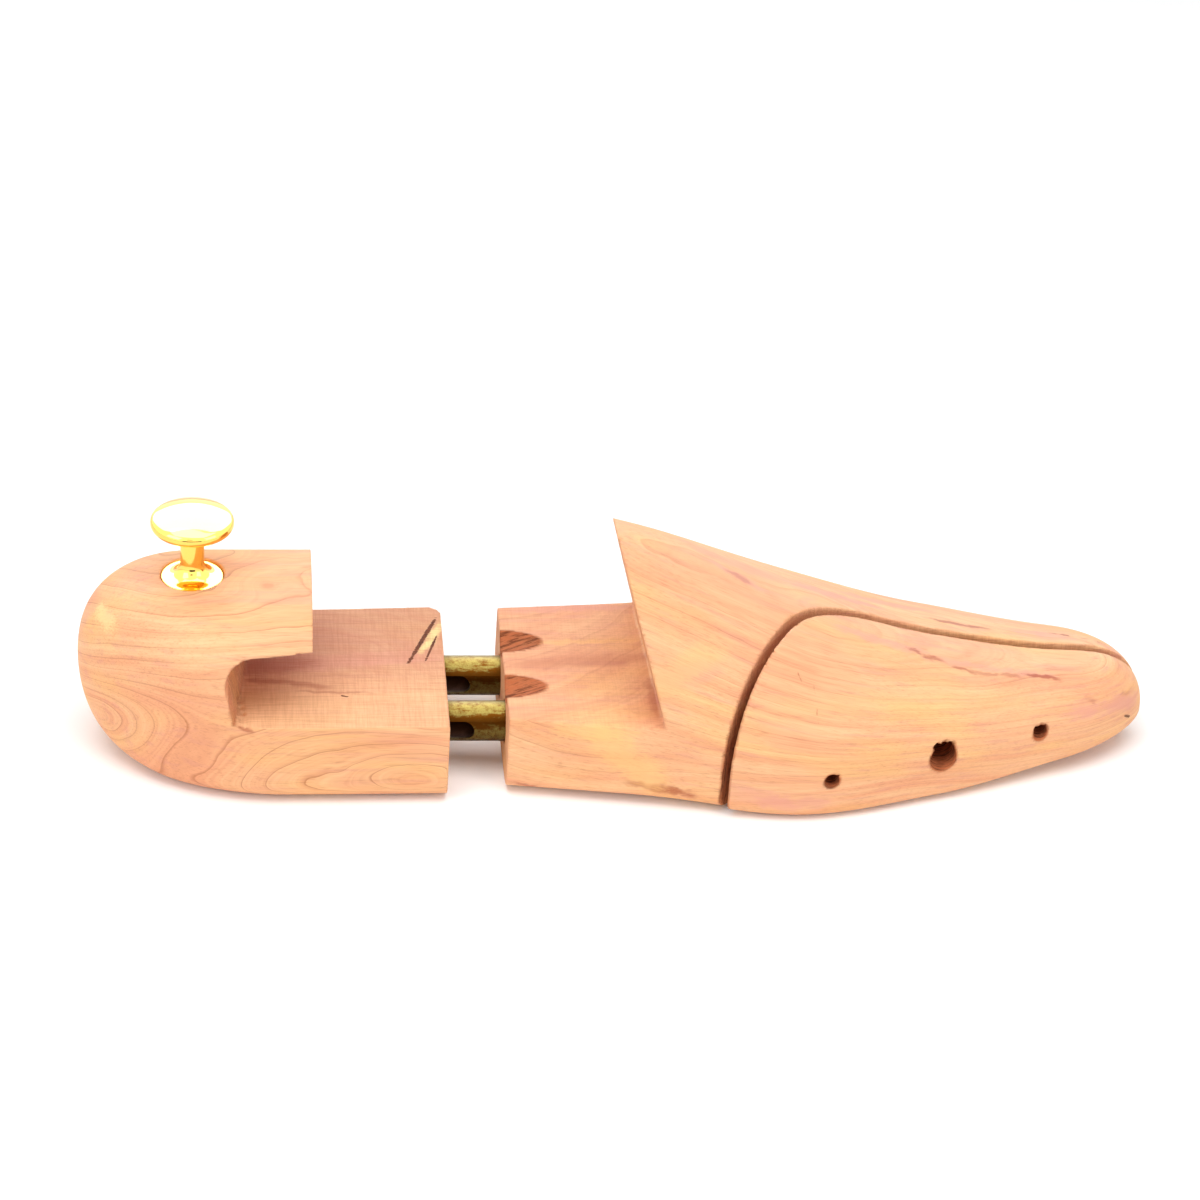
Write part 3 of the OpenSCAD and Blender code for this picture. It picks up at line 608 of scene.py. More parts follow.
SIDE_STREAKS = [
    ((150, -9, 42.6), (177, -8.8, 34), 2.2, "rose", 0.62),
    ((176, -10.8, 33.8), (216, -7.8, 25.8), 1.8, "rose", 0.6),
    ((172, -8.8, 35), (181, -10.6, 32.4), 1.1, "plum", 0.7),
    ((206, -8.8, 27), (214.6, -8.6, 25.4), 1.0, "plum", 0.75),
    ((184, -11.4, 31.4), (190, -12.2, 29.8), 0.8, "plum", 0.6),
    ((219, -15, 18.8), (239, -4, 16), 3.4, "rose", 0.8),
    ((222, -12, 20.6), (236, -4, 19), 1.2, "plum", 0.45),
    ((235, -8, 13), (236.8, -6.6, 11.8), 0.55, "bark", 0.85),
    ((131, -34, 32), (208, -15, 23), 4.5, "honey", 0.25),
    ((138, -26.2, 39.8), (139.4, -28.4, 37.2), 0.35, "line", 0.6),
    ((129, -39.6, 6.6), (149, -39.6, 5.8), 2, "rose", 0.6),
    ((142, -27.4, 37.4), (144, -34.4, 29), 0.35, "line", 0.5),
    ((121, -38.6, 8.5), (138, -40.2, 5), 3, "rose", 0.5),
    ((186, -12, 30), (206, -10, 27), 0.8, "plum", 0.45),
]

# Ragged places at the mouths of the side piece's holes: place and reach
TORN_EDGES = [
    ((149.9, -37.6, 14.4), 0.8), ((182.4, -29.0, 17.4), 1.3), ((180.4, -29.6, 18.2), 1.2),
    ((178.1, -30.2, 17.5), 1.3), ((210.2, -19.9, 17.2), 1.0), ((207.3, -20.9, 17.0), 0.9),
]
# How strongly the growth lines show, and how much the forepart's grain closes up towards the toe
HEEL_CONTRAST, FORE_CONTRAST, FORE_FAN = 0.68, 0.42, 2.85


def cedar(name, tones, rings, streaks, contrast, shelf_tone, fan=0.0):
    """Cedar with growth lines, fibres, rose streaks, sawn faces, dark end grain in bores, and painted shade
    low in the saw cut.
    """
    b = Bench(bpy.data.materials.new(name))
    p = b.points()
    px, py, pz = b.split(p)
    # In the forepart the grain closes up towards the toe, with the block
    q = b.join(px, py, pz * b.band(px, 62, 245, 1.0, fan)) if fan else p
    sway = b.vector("SUBTRACT", b.noise(p, 0.045, 2, output=1), (0.5, 0.5, 0.5))
    q = b.vector("ADD", q, b.vector("MULTIPLY", sway, (3, 2, 2)))
    # Streaks wander a little off their straight lines
    curl = b.vector("SUBTRACT", b.noise(p, 0.22, 2, output=1), (0.5, 0.5, 0.5))
    wandering = b.vector("ADD", p, b.vector("MULTIPLY", curl, (3, 3.5, 3.5)))
    ring = b.vector("DOT_PRODUCT", q, rings["tilt"]) + rings["start"]
    for centre, reach, strength in rings["swirls"]:
        ring = ring + b.blob(q, centre, reach) * strength
    x, y, _ = b.split(q)
    sawn, bored, shelf = b.read("sawn"), b.read("bored"), b.read("shelf")
    # Growth lines darken slowly and stop sharply; their strength comes and goes along them
    turn = b.add("ShaderNodeMath", {"operation": "FRACT"}, {0: ring + b.noise(p, 0.08, 3) * 0.12})
    strength = b.band(b.noise(b.join(ring * 0.55, x * 0.02, y * 0.02), 1.0, 1), 0.3, 0.65, 0.35, 1.0)
    late = (turn ** 5.0) * 0.26 + b.band(turn, 0.93, 0.985) * b.band(turn, 0.999, 0.985) * 0.6
    late = late * strength * contrast * (1 - sawn * 0.85)
    fine = b.noise(b.join(ring * 9.0, x * 0.03, y * 0.03), 1.0, 4, 0.6)
    fibre = b.noise(b.vector("MULTIPLY", q, (0.10, 2.4, 2.4)), 1.0, 4, 0.65)
    long = b.noise(b.vector("MULTIPLY", q, (0.018, 0.35, 0.45)), 1.0, 3, 0.55)
    broad = b.noise(b.join(ring * 0.8, x * 0.02, y * 0.03), 1.0, 3, 0.6)
    colour = b.mix(b.band(broad, 0.3, 0.7), tones.pale, tones.warm)
    patches = b.noise(b.vector("MULTIPLY", q, (0.02, 0.07, 0.07)), 1.0, 2)
    colour = b.mix(b.band(patches, 0.45, 0.7, 0, 0.5), colour, tones.honey)
    colour = b.mix(b.band(long, 0.50, 0.72, 0, 0.42), colour, tones.rose)
    colour = b.mix(late, colour, tones.line)
    colour = b.mix(b.band(fine, 0.3, 0.72, 0.20, 0.0), colour, tones.line)
    colour = b.mix(b.band(fibre, 0.28, 0.52, 0.30, 0.0), colour, tones.line)
    # Sawn faces carry fine marks across the grain; faces in bores show dark end grain, and painted shade low
    # in the saw cut takes the same tones
    marks = b.noise(b.join(px * 2.4, py * 0.10, pz * 0.10), 1.0, 3, 0.7)
    along = b.noise(b.join(px * 0.06, py * 2.6, pz * 2.6), 1.0, 3, 0.7)
    deep = b.band(py, -20, 6, 0.04, 0.75) * b.band(px, -10, 50, 1.0, 0.7)
    colour = b.mix(shelf * (0.75 - deep), colour, tones.pale)
    colour = b.mix(shelf * deep * b.band(along, 0.25, 0.75, 0.6, 1.0), colour, shelf_tone)
    # Cracks keep their line and a crisp edge; other streaks are softer
    uneven = (fibre - 0.5) * 1.3 + (long - 0.5) * 0.5
    for start, end, width, tone, share in streaks:
        place, edge = (p, (0.45, 0.65)) if tone == "bark" else (wandering, (0.22, 0.95))
        ragged = b.band(b.streak(place, start, end, width) + uneven, *edge)
        colour = b.mix(ragged * share, colour, getattr(tones, tone))
    colour = b.mix(sawn * b.band(marks, 0.35, 0.62, 0.19, 0.0), colour, tones.line)
    colour = b.mix(sawn * b.band(along, 0.35, 0.60, 0.28, 0.0), colour, tones.line)
    # Torn end grain in bores, and painted shade low in the saw cut, take the end-grain and bark tones
    torn = b.noise(b.vector("MULTIPLY", p, (0.12, 1.5, 0.25)), 1.0, 4, 0.7)
    colour = b.mix(bored * b.band(torn, 0.25, 0.75, 0.75, 1.0), colour, tones.bored)
    colour = b.mix(bored * b.band(torn, 0.56, 0.38, 0.0, 0.8), colour, tones.bark)
    height = fibre * 0.5 + fine * 0.25 - late * 0.4 + sawn * (marks * 1.1 + along * 0.8) + bored * torn * 4.0
    rough = b.band(fine, 0.3, 0.7, 0.46, 0.56) + sawn * 0.25 + bored * 0.3
    return b.surface(colour, rough, b.bump(height, 0.12 * MM, 0.8), IOR=1.45, Specular_IOR_Level=0.1)


def brass(name, tones, tone, roughness, wear, reflection_band=(0, 1)):
    """Brass with fine marks and tarnished spots; a painted dark reflection band lies just below the first of
    two heights, in millimetres, fades out by the second, and is weaker further down.
    """
    b = Bench(bpy.data.materials.new(name))
    p = b.points()
    _, _, z = b.split(p)
    scratch = b.noise(b.vector("MULTIPLY", p, (3.0, 0.35, 0.35)), 1.0, 4, 0.7)
    spot = b.noise(p, 0.55, 5, 0.7)
    shade = b.band(spot, 0.42, 0.72, 0.0, wear) * b.band(scratch, 0.25, 0.7, 1.0, 0.4)
    # Painted reflection: a wavy dark band in the darker tone, where the brass would mirror the dark room and
    # camera
    level = z + (b.noise(b.vector("MULTIPLY", p, (0.25, 1, 1)), 1.0, 3) - 0.5) * 5
    top = reflection_band[0]
    painted_reflection = b.band(level, *reflection_band, 0.95 * wear, 0.0) * b.band(level, top - 3.4, top - 1.6, 0.2, 1.0)
    grain = b.noise(p, 2.4, 3, 0.7)
    shade = shade + painted_reflection + b.band(grain, 0.45, 0.72, 0.0, 0.55 * wear)
    # Painted shade: the tubes' bores take the nearly black inside tone
    inside = b.read("bored")
    colour = b.mix(inside, b.mix(shade, tone, tones.tarnish_and_reflection), tones.inside)
    rough = b.band(spot, 0.35, 0.7, roughness, roughness * 1.5) + scratch * roughness * 0.4 + inside * 0.3
    relief = b.bump(scratch + (spot + grain * 2.5) * wear, 0.01 * MM, 0.35 * (wear + 0.08))
    return b.surface(colour, rough, relief, metallic=1.0)


def steel(name, tone):
    """Drawn steel with fine marks along it."""
    b = Bench(bpy.data.materials.new(name))
    p = b.points()
    marks = b.noise(b.vector("MULTIPLY", p, (0.5, 3.0, 3.0)), 1.0, 4, 0.6)
    colour = b.mix(b.band(marks, 0.3, 0.7), tone, [c * 0.72 for c in tone])
    return b.surface(colour, b.band(marks, 0.3, 0.7, 0.28, 0.4), b.bump(marks, 0.01 * MM, 0.3), metallic=1.0)


# ---------------------------------------------------------------- pieces

def tube_lines(m):
    """Name and sideways place of the two tubes."""
    return [("inner", m.spacing / 2), ("outer", -m.spacing / 2)]


class SHOETREE_OT_heel(bpy.types.Operator):
    """Carve the heel block with its finger notch"""
    bl_idname = "shoetree.heel"
    bl_label = "Heel block"

    def execute(self, context):
        s, m, tones = context.scene.shoetree_heel, context.scene.shoetree_metal, context.scene.shoetree_cedar
        past = 0.002
        pin_x, pin_d, pin_start, _ = m.cross_pin
        floor, centre = s.shelf, Vector((s.notch_radius - s.notch_hollow - s.notch_foot, 0,
                                         s.shelf + s.notch_height - s.notch_radius))
        low = centre - s.notch_radius * Vector((math.cos(s.notch_low), 0, math.sin(s.notch_low)))
        high = centre + s.notch_radius * Vector((-math.sin(s.notch_rise), 0, math.cos(s.notch_rise)))
        ceiling = high + FAR * Vector((math.cos(s.notch_rise), 0, math.sin(s.notch_rise)))
        turn = Matrix.Rotation(-s.notch_skew, 4, "Z")
        side = Vector((0, -FAR / 2, 0))
        notch = [Vector((-s.notch_foot, 0, floor)), low, centre, high, ceiling, Vector((FAR, 0, floor))]
        cutters = [
            slab(-FAR, FAR, -FAR),
            slab(s.overhang, FAR, floor),
            prism([p + side for p in notch], (0, FAR, 0), turn),
            rod(turn @ (centre + side), turn @ (centre - side), s.notch_radius),
            rod((m.knob_at[0], 0, m.knob_at[1]), (m.knob_at[0], 0, FAR), m.flange[0] / 2 + m.seat_room),
            rod((m.knob_at[0], 0, m.knob_at[1] - m.hanger[1]), (m.knob_at[0], 0, FAR), m.hanger[0] / 2),
            rod((pin_x, pin_start, m.height), (pin_x, FAR, m.height), pin_d / 2),
        ]
        for _, y in tube_lines(m):
            cutters.append(rod((m.spring_room[0], y, m.height), (s.places[2] + past, y, m.height),
                               m.tube / 2 + m.play))
        # The shelf's far corner has broken off
        cutters.append(prism([Vector((s.places[2] - 0.0035, s.inner[2], -FAR)),
                              Vector((s.places[2] - 0.001, s.inner[2] - 0.0016, -FAR)),
                              Vector((s.places[2] + 0.0006, s.inner[2] - 0.0045, -FAR)),
                              Vector((FAR, s.inner[2], -FAR)), Vector((FAR, FAR, -FAR)),
                              Vector((s.places[2] - 0.0035, FAR, -FAR))], (0, 0, 2 * FAR)))
        # The notch's foot is torn at its near end
        foot = turn @ Vector((-s.notch_foot, 0, floor))
        for i in range(5):
            tear = (foot.x - 0.0004 - 0.0003 * i, -s.outer[1] + 0.0015 + 0.003 * i, floor + 0.0006)
            cutters.append(chip(tear, (0.0013, 0.0017, 0.0012), i))
        obj = shaped(carved("heel_block_carved", heel_form, s), cutters, HEEL_FACE)
        co, no = places_of(obj.data)
        x, y, z = co.T
        up = np.clip((no[:, 2] - 0.8) * 8, 0, 1) * (np.abs(z - floor) < 0.0012)
        in_notch = (z > floor - 0.0005) & (no[:, 0] > 0.25)
        in_notch &= (x > centre.x - s.notch_radius - 0.002) & (x < 0.004)
        ceiling_face = (no[:, 2] < -0.7) & (z > floor + 0.008) & (x > -0.01)
        front = (x > s.places[2] - 0.0008) & (no[:, 0] > 0.8)
        overhang_face = (no[:, 0] > 0.9) & (x > s.overhang - 0.0008) & (z > floor + 0.003)
        bored = np.zeros(len(co))
        for _, ty in tube_lines(m):
            bored = np.maximum(bored, near_axis(co, (0, ty, m.height), (1, 0, 0), m.tube / 2 + 0.0002, 0.0005)
                               * (x > m.spring_room[0] - 0.001))
        hanger = near_axis(co, (m.knob_at[0], 0, 0), (0, 0, 1), m.hanger[0] / 2 + 0.0002, 0.0005)
        bored = np.maximum(bored, hanger * (z > 0.03))
        note(obj.data, "shelf", up)
        note(obj.data, "sawn", np.maximum.reduce([up, in_notch * 1.0, ceiling_face * 1.0, front * 0.5,
                                                  overhang_face * 0.15]))
        note(obj.data, "bored", np.maximum(bored, in_notch * 0.3))
        obj.data.shade_smooth()
        wood = cedar("heel_cedar", tones, HEEL_RINGS, HEEL_STREAKS, HEEL_CONTRAST, tones.shelf)
        finish(obj, wood, "heel", "heel_wood", "heel_block")
        return {"FINISHED"}


def kerf_line(k, left):
    """The saw cut's line, moved to its left: straight in, a bend and straight on to the toe."""
    steps = 16
    turns = [k.entry + (k.exit - k.entry) * i / steps for i in range(steps + 1)]
    bend = [Vector((k.bend_centre[0] - (k.bend_radius + left) * math.sin(a),
                    k.bend_centre[1] + (k.bend_radius + left) * math.cos(a), 0)) for a in turns]
    entry = bend[0] - 0.075 * Vector((math.cos(k.entry), math.sin(k.entry), 0))
    leave = bend[-1] + 0.15 * Vector((math.cos(k.exit), math.sin(k.exit), 0))
    return [entry, *bend, leave]


def kerf_y(k, x, left):
    """Sideways place of the saw cut's line at a place along the forepart."""
    line = kerf_line(k, left)
    return float(np.interp(x, [p.x for p in line], [p.y for p in line]))


def outer_side(k, left):
    """All that lies on the outer side of the saw cut's line."""
    line = kerf_line(k, left)
    outline = [*line, Vector((line[-1].x, -FAR / 2, 0)), Vector((line[0].x, -FAR / 2, 0))]
    return prism([p + Vector((0, 0, -FAR / 2)) for p in outline], (0, 0, FAR))


def off_kerf(k, co, left):
    """How far points lie from the saw cut's line, seen from above."""
    line = [np.array(p)[:2] for p in kerf_line(k, left)]
    least = np.full(len(co), 1.0)
    for a, c in zip(line[:-1], line[1:]):
        way = c - a
        t = np.clip((co[:, :2] - a) @ way / (way @ way), 0, 1)
        least = np.minimum(least, np.linalg.norm(co[:, :2] - a - t[:, None] * way, axis=1))
    return least


def painted_kerf_shade(x, z):
    """How much painted shade darkens the saw cut's walls: most at its entry, low down."""
    return np.clip((0.044 - z) / 0.03, 0, 0.75) * np.clip((0.15 - x) / 0.02, 0, 1)


def toe_seats(k):
    """Where the toe's screw and spring find their seats, along Y."""
    main_end = kerf_y(k, k.screw, k.kerf / 2) + k.pocket_main
    side_end = kerf_y(k, k.screw, -k.kerf / 2) - k.pocket_side - k.spread
    return main_end, side_end, side_end - k.web


def row_height(k, x):
    """Height of the row of holes at a place along it."""
    return k.row_height + (x - k.screw) * math.tan(k.row_rise)


class SHOETREE_OT_instep(bpy.types.Operator):
    """Carve the forepart's main block"""
    bl_idname = "shoetree.instep"
    bl_label = "Instep block"

    def execute(self, context):
        scene = context.scene
        s, k, m, tones = scene.shoetree_fore, scene.shoetree_split, scene.shoetree_metal, scene.shoetree_cedar
        turn = Matrix.Translation((s.places[0] + s.cut_at, 0, s.shelf)) @ Matrix.Rotation(s.cut_skew, 4, "Z")
        high = FAR / 2
        cut = [(0, 0), (-high * math.tan(s.cut_lean), high), (-high, high), (-high, 0)]
        cutters = [
            slab(-FAR, FAR, -FAR),
            prism([Vector((x, -FAR / 2, z)) for x, z in cut], (0, FAR, 0), turn),
            outer_side(k, k.kerf / 2),
        ]
        main_end, _, _ = toe_seats(k)
        for _, y in tube_lines(m):
            cutters.append(rod((s.places[0] - 0.002, y, m.height), (m.ends[1], y, m.height),
                               m.tube / 2 + 0.00002))
            floor = Vector((s.places[0] + s.channel_run, y, s.shelf))
            tilt = Vector((math.cos(s.channel_slope), 0, math.sin(s.channel_slope)))
            up = Vector((-math.sin(s.channel_slope), 0, math.cos(s.channel_slope)))
            axis = floor + up * s.channel / 2
            cutters.append(rod(axis - tilt * FAR / 2, axis, s.channel / 2))
        for x in k.pins:
            z, end = row_height(k, x), kerf_y(k, x, k.kerf / 2) + k.pin_set
            cutters.append(rod((x, -BESIDE, z), (x, end, z), k.pin / 2))
        cutters.append(rod((k.screw, -BESIDE, k.row_height), (k.screw, main_end, k.row_height), k.pocket / 2))
        obj = shaped(carved("instep_block_carved", fore_form, s), cutters, INSTEP_FACE)
        co, no = places_of(obj.data)
        x, y, z = co.T
        shelf = np.clip((no[:, 2] - 0.8) * 8, 0, 1) * (np.abs(z - s.shelf) < 0.0012) * (x < 0.106)
        rear = ((x < s.places[0] + 0.0008) & (no[:, 0] < -0.8)) * 0.4
        cut_face = ((no[:, 0] < -0.85) & (z > s.shelf + 0.002) & (x < 0.105)) * 0.6
        kerf = np.clip(1 - (off_kerf(k, co, k.kerf / 2) - 0.0001) / 0.0004, 0, 1)
        bored = np.zeros(len(co))
        for _, ty in tube_lines(m):
            bored = np.maximum(bored, near_axis(co, (0, ty, m.height), (1, 0, 0), m.tube / 2 + 0.0002, 0.0004)
                               * (x < m.ends[1] + 0.001))
            axis = Vector((s.places[0] + s.channel_run, ty, s.shelf)) + up * s.channel / 2
            bored = np.maximum(bored, near_axis(co, axis, tilt, s.channel / 2 + 0.0001, 0.0004)
                               * (z > m.height) * (x < 0.075))
        # Painted shade low in the saw cut, mixed in with the bores' end grain
        bored = np.maximum(bored, kerf * painted_kerf_shade(x, z))
        note(obj.data, "shelf", shelf * 0.16)
        note(obj.data, "sawn", np.maximum.reduce([shelf * 0.55, rear, cut_face * 0.6, kerf]))
        note(obj.data, "bored", bored)
        obj.data.shade_smooth()
        wood = cedar("instep_cedar", tones, FORE_RINGS, FORE_STREAKS, FORE_CONTRAST, tones.rose, FORE_FAN)
        finish(obj, wood, "forepart", "fore_wood", "instep_block")
        return {"FINISHED"}


class SHOETREE_OT_toe_side(bpy.types.Operator):
    """Carve the sprung side piece of the toe with its three holes"""
    bl_idname = "shoetree.toe_side"
    bl_label = "Toe side block"

    def execute(self, context):
        scene = context.scene
        s, k, tones = scene.shoetree_fore, scene.shoetree_split, scene.shoetree_cedar
        _, side_end, head_seat = toe_seats(k)
        out = Vector((0, k.spread, 0))
        holes = []
        for x in k.pins:
            z = row_height(k, x)
            holes.append(rod((x, -BESIDE, z), (x, BESIDE, z), k.pin / 2 + 0.00005))
        along = (-BESIDE, BESIDE, head_seat, side_end)
        near, far, head, pocket = [Vector((k.screw, y, k.row_height)) for y in along]
        holes.append(rod(near, far, k.shank / 2 + 0.00005))
        holes.append(rod(near, head + out, k.counterbore / 2))
        holes.append(rod(pocket + out, far, k.pocket / 2))
        obj = shaped(carved("toe_side_block_carved", fore_form, s), [slab(-FAR, FAR, -FAR), *holes],
                     meet=[outer_side(k, -k.kerf / 2)])
        move(obj, -out)
        torn = []
        for i, (place, reach) in enumerate(TORN_EDGES):
            torn.append(chip([v * MM for v in place], (reach * MM, 1.4 * reach * MM, reach * MM), i + 9, 0.5))
        obj = shaped(obj, torn, SIDE_FACE)
        co, no = places_of(obj.data)
        kerf = np.clip(1 - (off_kerf(k, co + np.array(out), -k.kerf / 2) - 0.0001) / 0.0004, 0, 1)
        kerf = kerf * (np.abs(no[:, 2]) < 0.8)
        x, y, z = co.T
        bored = np.zeros(len(co))
        for hole in (*k.pins, k.screw):
            radius = (k.counterbore if hole == k.screw else k.pin) / 2
            middle = (hole, 0, row_height(k, hole))
            bored = np.maximum(bored, near_axis(co, middle, (0, 1, 0), radius + 0.0001, 0.0005))
        # Painted shade low in the saw cut, mixed in with the holes' end grain
        bored = np.maximum(bored, kerf * painted_kerf_shade(x, z))
        note(obj.data, "sawn", kerf)
        note(obj.data, "bored", bored)
        obj.data.shade_smooth()
        wood = cedar("toe_side_cedar", tones, FORE_RINGS, SIDE_STREAKS, FORE_CONTRAST, tones.rose, FORE_FAN)
        finish(obj, wood, "toe_side", "side_wood", "toe_side_block")
        return {"FINISHED"}


def turned(name, outline, axis_point, way, steps):
    """A lathe-turned piece: an outline of radius and height, spun about its axis."""
    bm = bmesh.new()
    verts = [bm.verts.new((r, 0, h)) for r, h in outline]
    edges = [bm.edges.new(pair) for pair in zip(verts[:-1], verts[1:])]
    bmesh.ops.spin(bm, geom=verts + edges, cent=(0, 0, 0), axis=(0, 0, 1), angle=2 * math.pi, steps=steps,
                   use_merge=True, use_duplicate=False)
    bmesh.ops.remove_doubles(bm, verts=bm.verts, dist=1e-7)
    place = Matrix.Translation(axis_point) @ Vector(way).to_track_quat("Z", "Y").to_matrix().to_4x4()
    bmesh.ops.transform(bm, matrix=place, verts=bm.verts)
    obj = new_object(bm, name)
    obj.data.shade_smooth()
    obj.data.set_sharp_from_angle(angle=math.radians(38))
    return obj


def arc(centre, radius, start, end, steps):
    """Points on an arc of an outline, the angles in degrees."""
    turns = [math.radians(start + (end - start) * i / steps) for i in range(steps + 1)]
    return [(centre[0] + radius * math.cos(a), centre[1] + radius * math.sin(a)) for a in turns]


class SHOETREE_OT_knob(bpy.types.Operator):
    """Turn the knob: flange, trumpet, neck and cushion-shaped head"""
    bl_idname = "shoetree.knob"
    bl_label = "Knob"

    def execute(self, context):
        m, tones = context.scene.shoetree_metal, context.scene.shoetree_brass
        (knob_d, thick, rim, high), (flange_d, flange_t, trumpet) = m.knob, m.flange
        half, rim_at, neck = thick / 2, knob_d / 2 - rim, m.neck / 2
        dome = (rim_at ** 2 + half ** 2 - rim ** 2) / (2 * (half - rim))
        meet = math.degrees(math.acos(rim_at / (dome - rim)))
        soft = 0.0003
        under = [p for p in arc((0, high - half + dome), dome, -90 + 0.01, -meet, 28) if p[0] > neck + soft]
        outline = [(0, 0), (flange_d / 2 - soft, 0)]
        outline += arc((flange_d / 2 - soft, soft), soft, -80, 0, 4)
        outline += arc((flange_d / 2 - soft, flange_t - soft), soft, 0, 90, 4)
        outline += arc((neck + trumpet, flange_t + trumpet), trumpet, 270, 180, 16)
        outline += [(neck, high - half + 0.0002)] + under
        outline += arc((rim_at, high), rim, -meet, meet, 16)
        outline += arc((0, high + half - dome), dome, meet, 90, 28)[1:-1] + [(0, high + half)]
        obj = turned("knob_turned", outline, (m.knob_at[0], 0, m.knob_at[1]), (0, 0, 1), 160)
        finish(obj, brass("knob_polish", tones, tones.knob, 0.06, 0.03), "heel", "knob_brass", "knob")
        return {"FINISHED"}


class SHOETREE_OT_tubes(bpy.types.Operator):
    """Draw the two slotted guide tubes"""
    bl_idname = "shoetree.tubes"
    bl_label = "Guide tubes"

    def execute(self, context):
        m, tones = context.scene.shoetree_metal, context.scene.shoetree_brass
        # The two heights put the painted dark reflection band on the upper half of the tubes
        metal = brass("tube_brass", tones, tones.tube, 0.3, 1.0, (m.height / MM + 3.7, m.height / MM + 4.8))
        rear, front, wide = m.slot
        for name, y in tube_lines(m):
            body = rod((m.ends[0], y, m.height), (m.ends[1], y, m.height), m.tube / 2, 128)
            body.name = "guide_tube_%s_drawn" % name
            ends = (rear + wide / 2, front - wide / 2)
            cutters = [rod((m.ends[0] - 0.001, y, m.height), (m.ends[1] + 0.001, y, m.height),
                           m.tube / 2 - m.wall, 128)]
            cutters += [rod((x, y - m.tube, m.height), (x, y + m.tube, m.height), wide / 2, 48) for x in ends]
            low, high = m.height - wide / 2, m.height + wide / 2
            cutters.append(keyway(*ends, low, high, y - m.tube, 2 * m.tube))
            obj = shaped(body, cutters)
            edge = obj.modifiers.new("edge", "BEVEL")
            edge.width, edge.segments, edge.limit_method = 0.00016, 2, "ANGLE"
            edge.angle_limit = math.radians(50)
            obj = shaped(obj, [])
            # Marks the tube's bore, which the material paints nearly black as painted shade
            bore = m.tube / 2 - m.wall
            note(obj.data, "bored", near_axis(places_of(obj.data)[0], (0, y, m.height), (1, 0, 0),
                                              bore + 0.1 * MM, 0.2 * MM))
            obj.data.shade_smooth()
            obj.data.set_sharp_from_angle(angle=math.radians(45))
            finish(obj, metal, "forepart", "tube_brass", "guide_tube_" + name)
        return {"FINISHED"}


def wound(name, length, diameter, wire, curls, matrix):
    """A wound spring along X: a circle spun about the axis, with a dead curl at each end."""
    sides, steps = 12, 28
    dead = wire + 0.00067
    live = (length - wire - 2 * dead) / (curls - 2)
    bm = bmesh.new()
    ring = bmesh.ops.create_circle(bm, cap_ends=False, segments=sides, radius=wire / 2,
                                   matrix=Matrix.Translation((wire / 2, (diameter - wire) / 2, 0)))
    geom = list({e for v in ring["verts"] for e in v.link_edges}) + ring["verts"]
    first = [e for e in geom if isinstance(e, bmesh.types.BMEdge)]
    for pitch, turns in ((dead, 1), (live, curls - 2), (dead, 1)):
        geom = bmesh.ops.spin(bm, geom=geom, cent=(0, 0, 0), axis=(1, 0, 0), dvec=(pitch / steps, 0, 0),
                              angle=2 * math.pi * turns, steps=steps * turns, use_merge=False,
                              use_duplicate=False)["geom_last"]
    last = [e for e in geom if isinstance(e, bmesh.types.BMEdge)]
    for edges in (first, last):
        bmesh.ops.contextual_create(bm, geom=edges)
    bmesh.ops.transform(bm, matrix=matrix, verts=bm.verts)
    obj = new_object(bm, name)
    obj.data.shade_smooth()
    return obj


class SHOETREE_OT_springs(bpy.types.Operator):
    """Wind the two heel springs and the toe spring"""
    bl_idname = "shoetree.springs"
    bl_label = "Springs"

    def execute(self, context):
        m, k = context.scene.shoetree_metal, context.scene.shoetree_split
        metal = steel("spring_steel", context.scene.shoetree_brass.steel)
        start, end = m.spring_room
        seat = 0.00002
        for name, y in tube_lines(m):
            obj = wound("heel_spring_%s_wound" % name, end - start - 2 * seat, *m.spring, 12,
                        Matrix.Translation((start + seat, y, m.height)))
            finish(obj, metal, "heel", "steel", "heel_spring_" + name)
            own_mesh(obj)
        main_end, side_end, _ = toe_seats(k)
        obj = wound("toe_spring_wound", main_end - side_end - 2 * seat, *m.toe_spring, 7,
                    Matrix.Translation((k.screw, side_end + seat, k.row_height)) @ Matrix.Rotation(
                        math.pi / 2, 4, "Z"))
        finish(obj, metal, "forepart", "steel", "toe_spring")
        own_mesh(obj)
        return {"FINISHED"}


def dowel(name, start, end, radius, chamfer=0.0003):
    """A round pin with chamfered ends."""
    length = (Vector(end) - Vector(start)).length
    outline = [(0, 0), (radius - chamfer, 0), (radius, chamfer), (radius, length - chamfer),
               (radius - chamfer, length), (0, length)]
    return turned(name, outline, start, Vector(end) - Vector(start), 48)


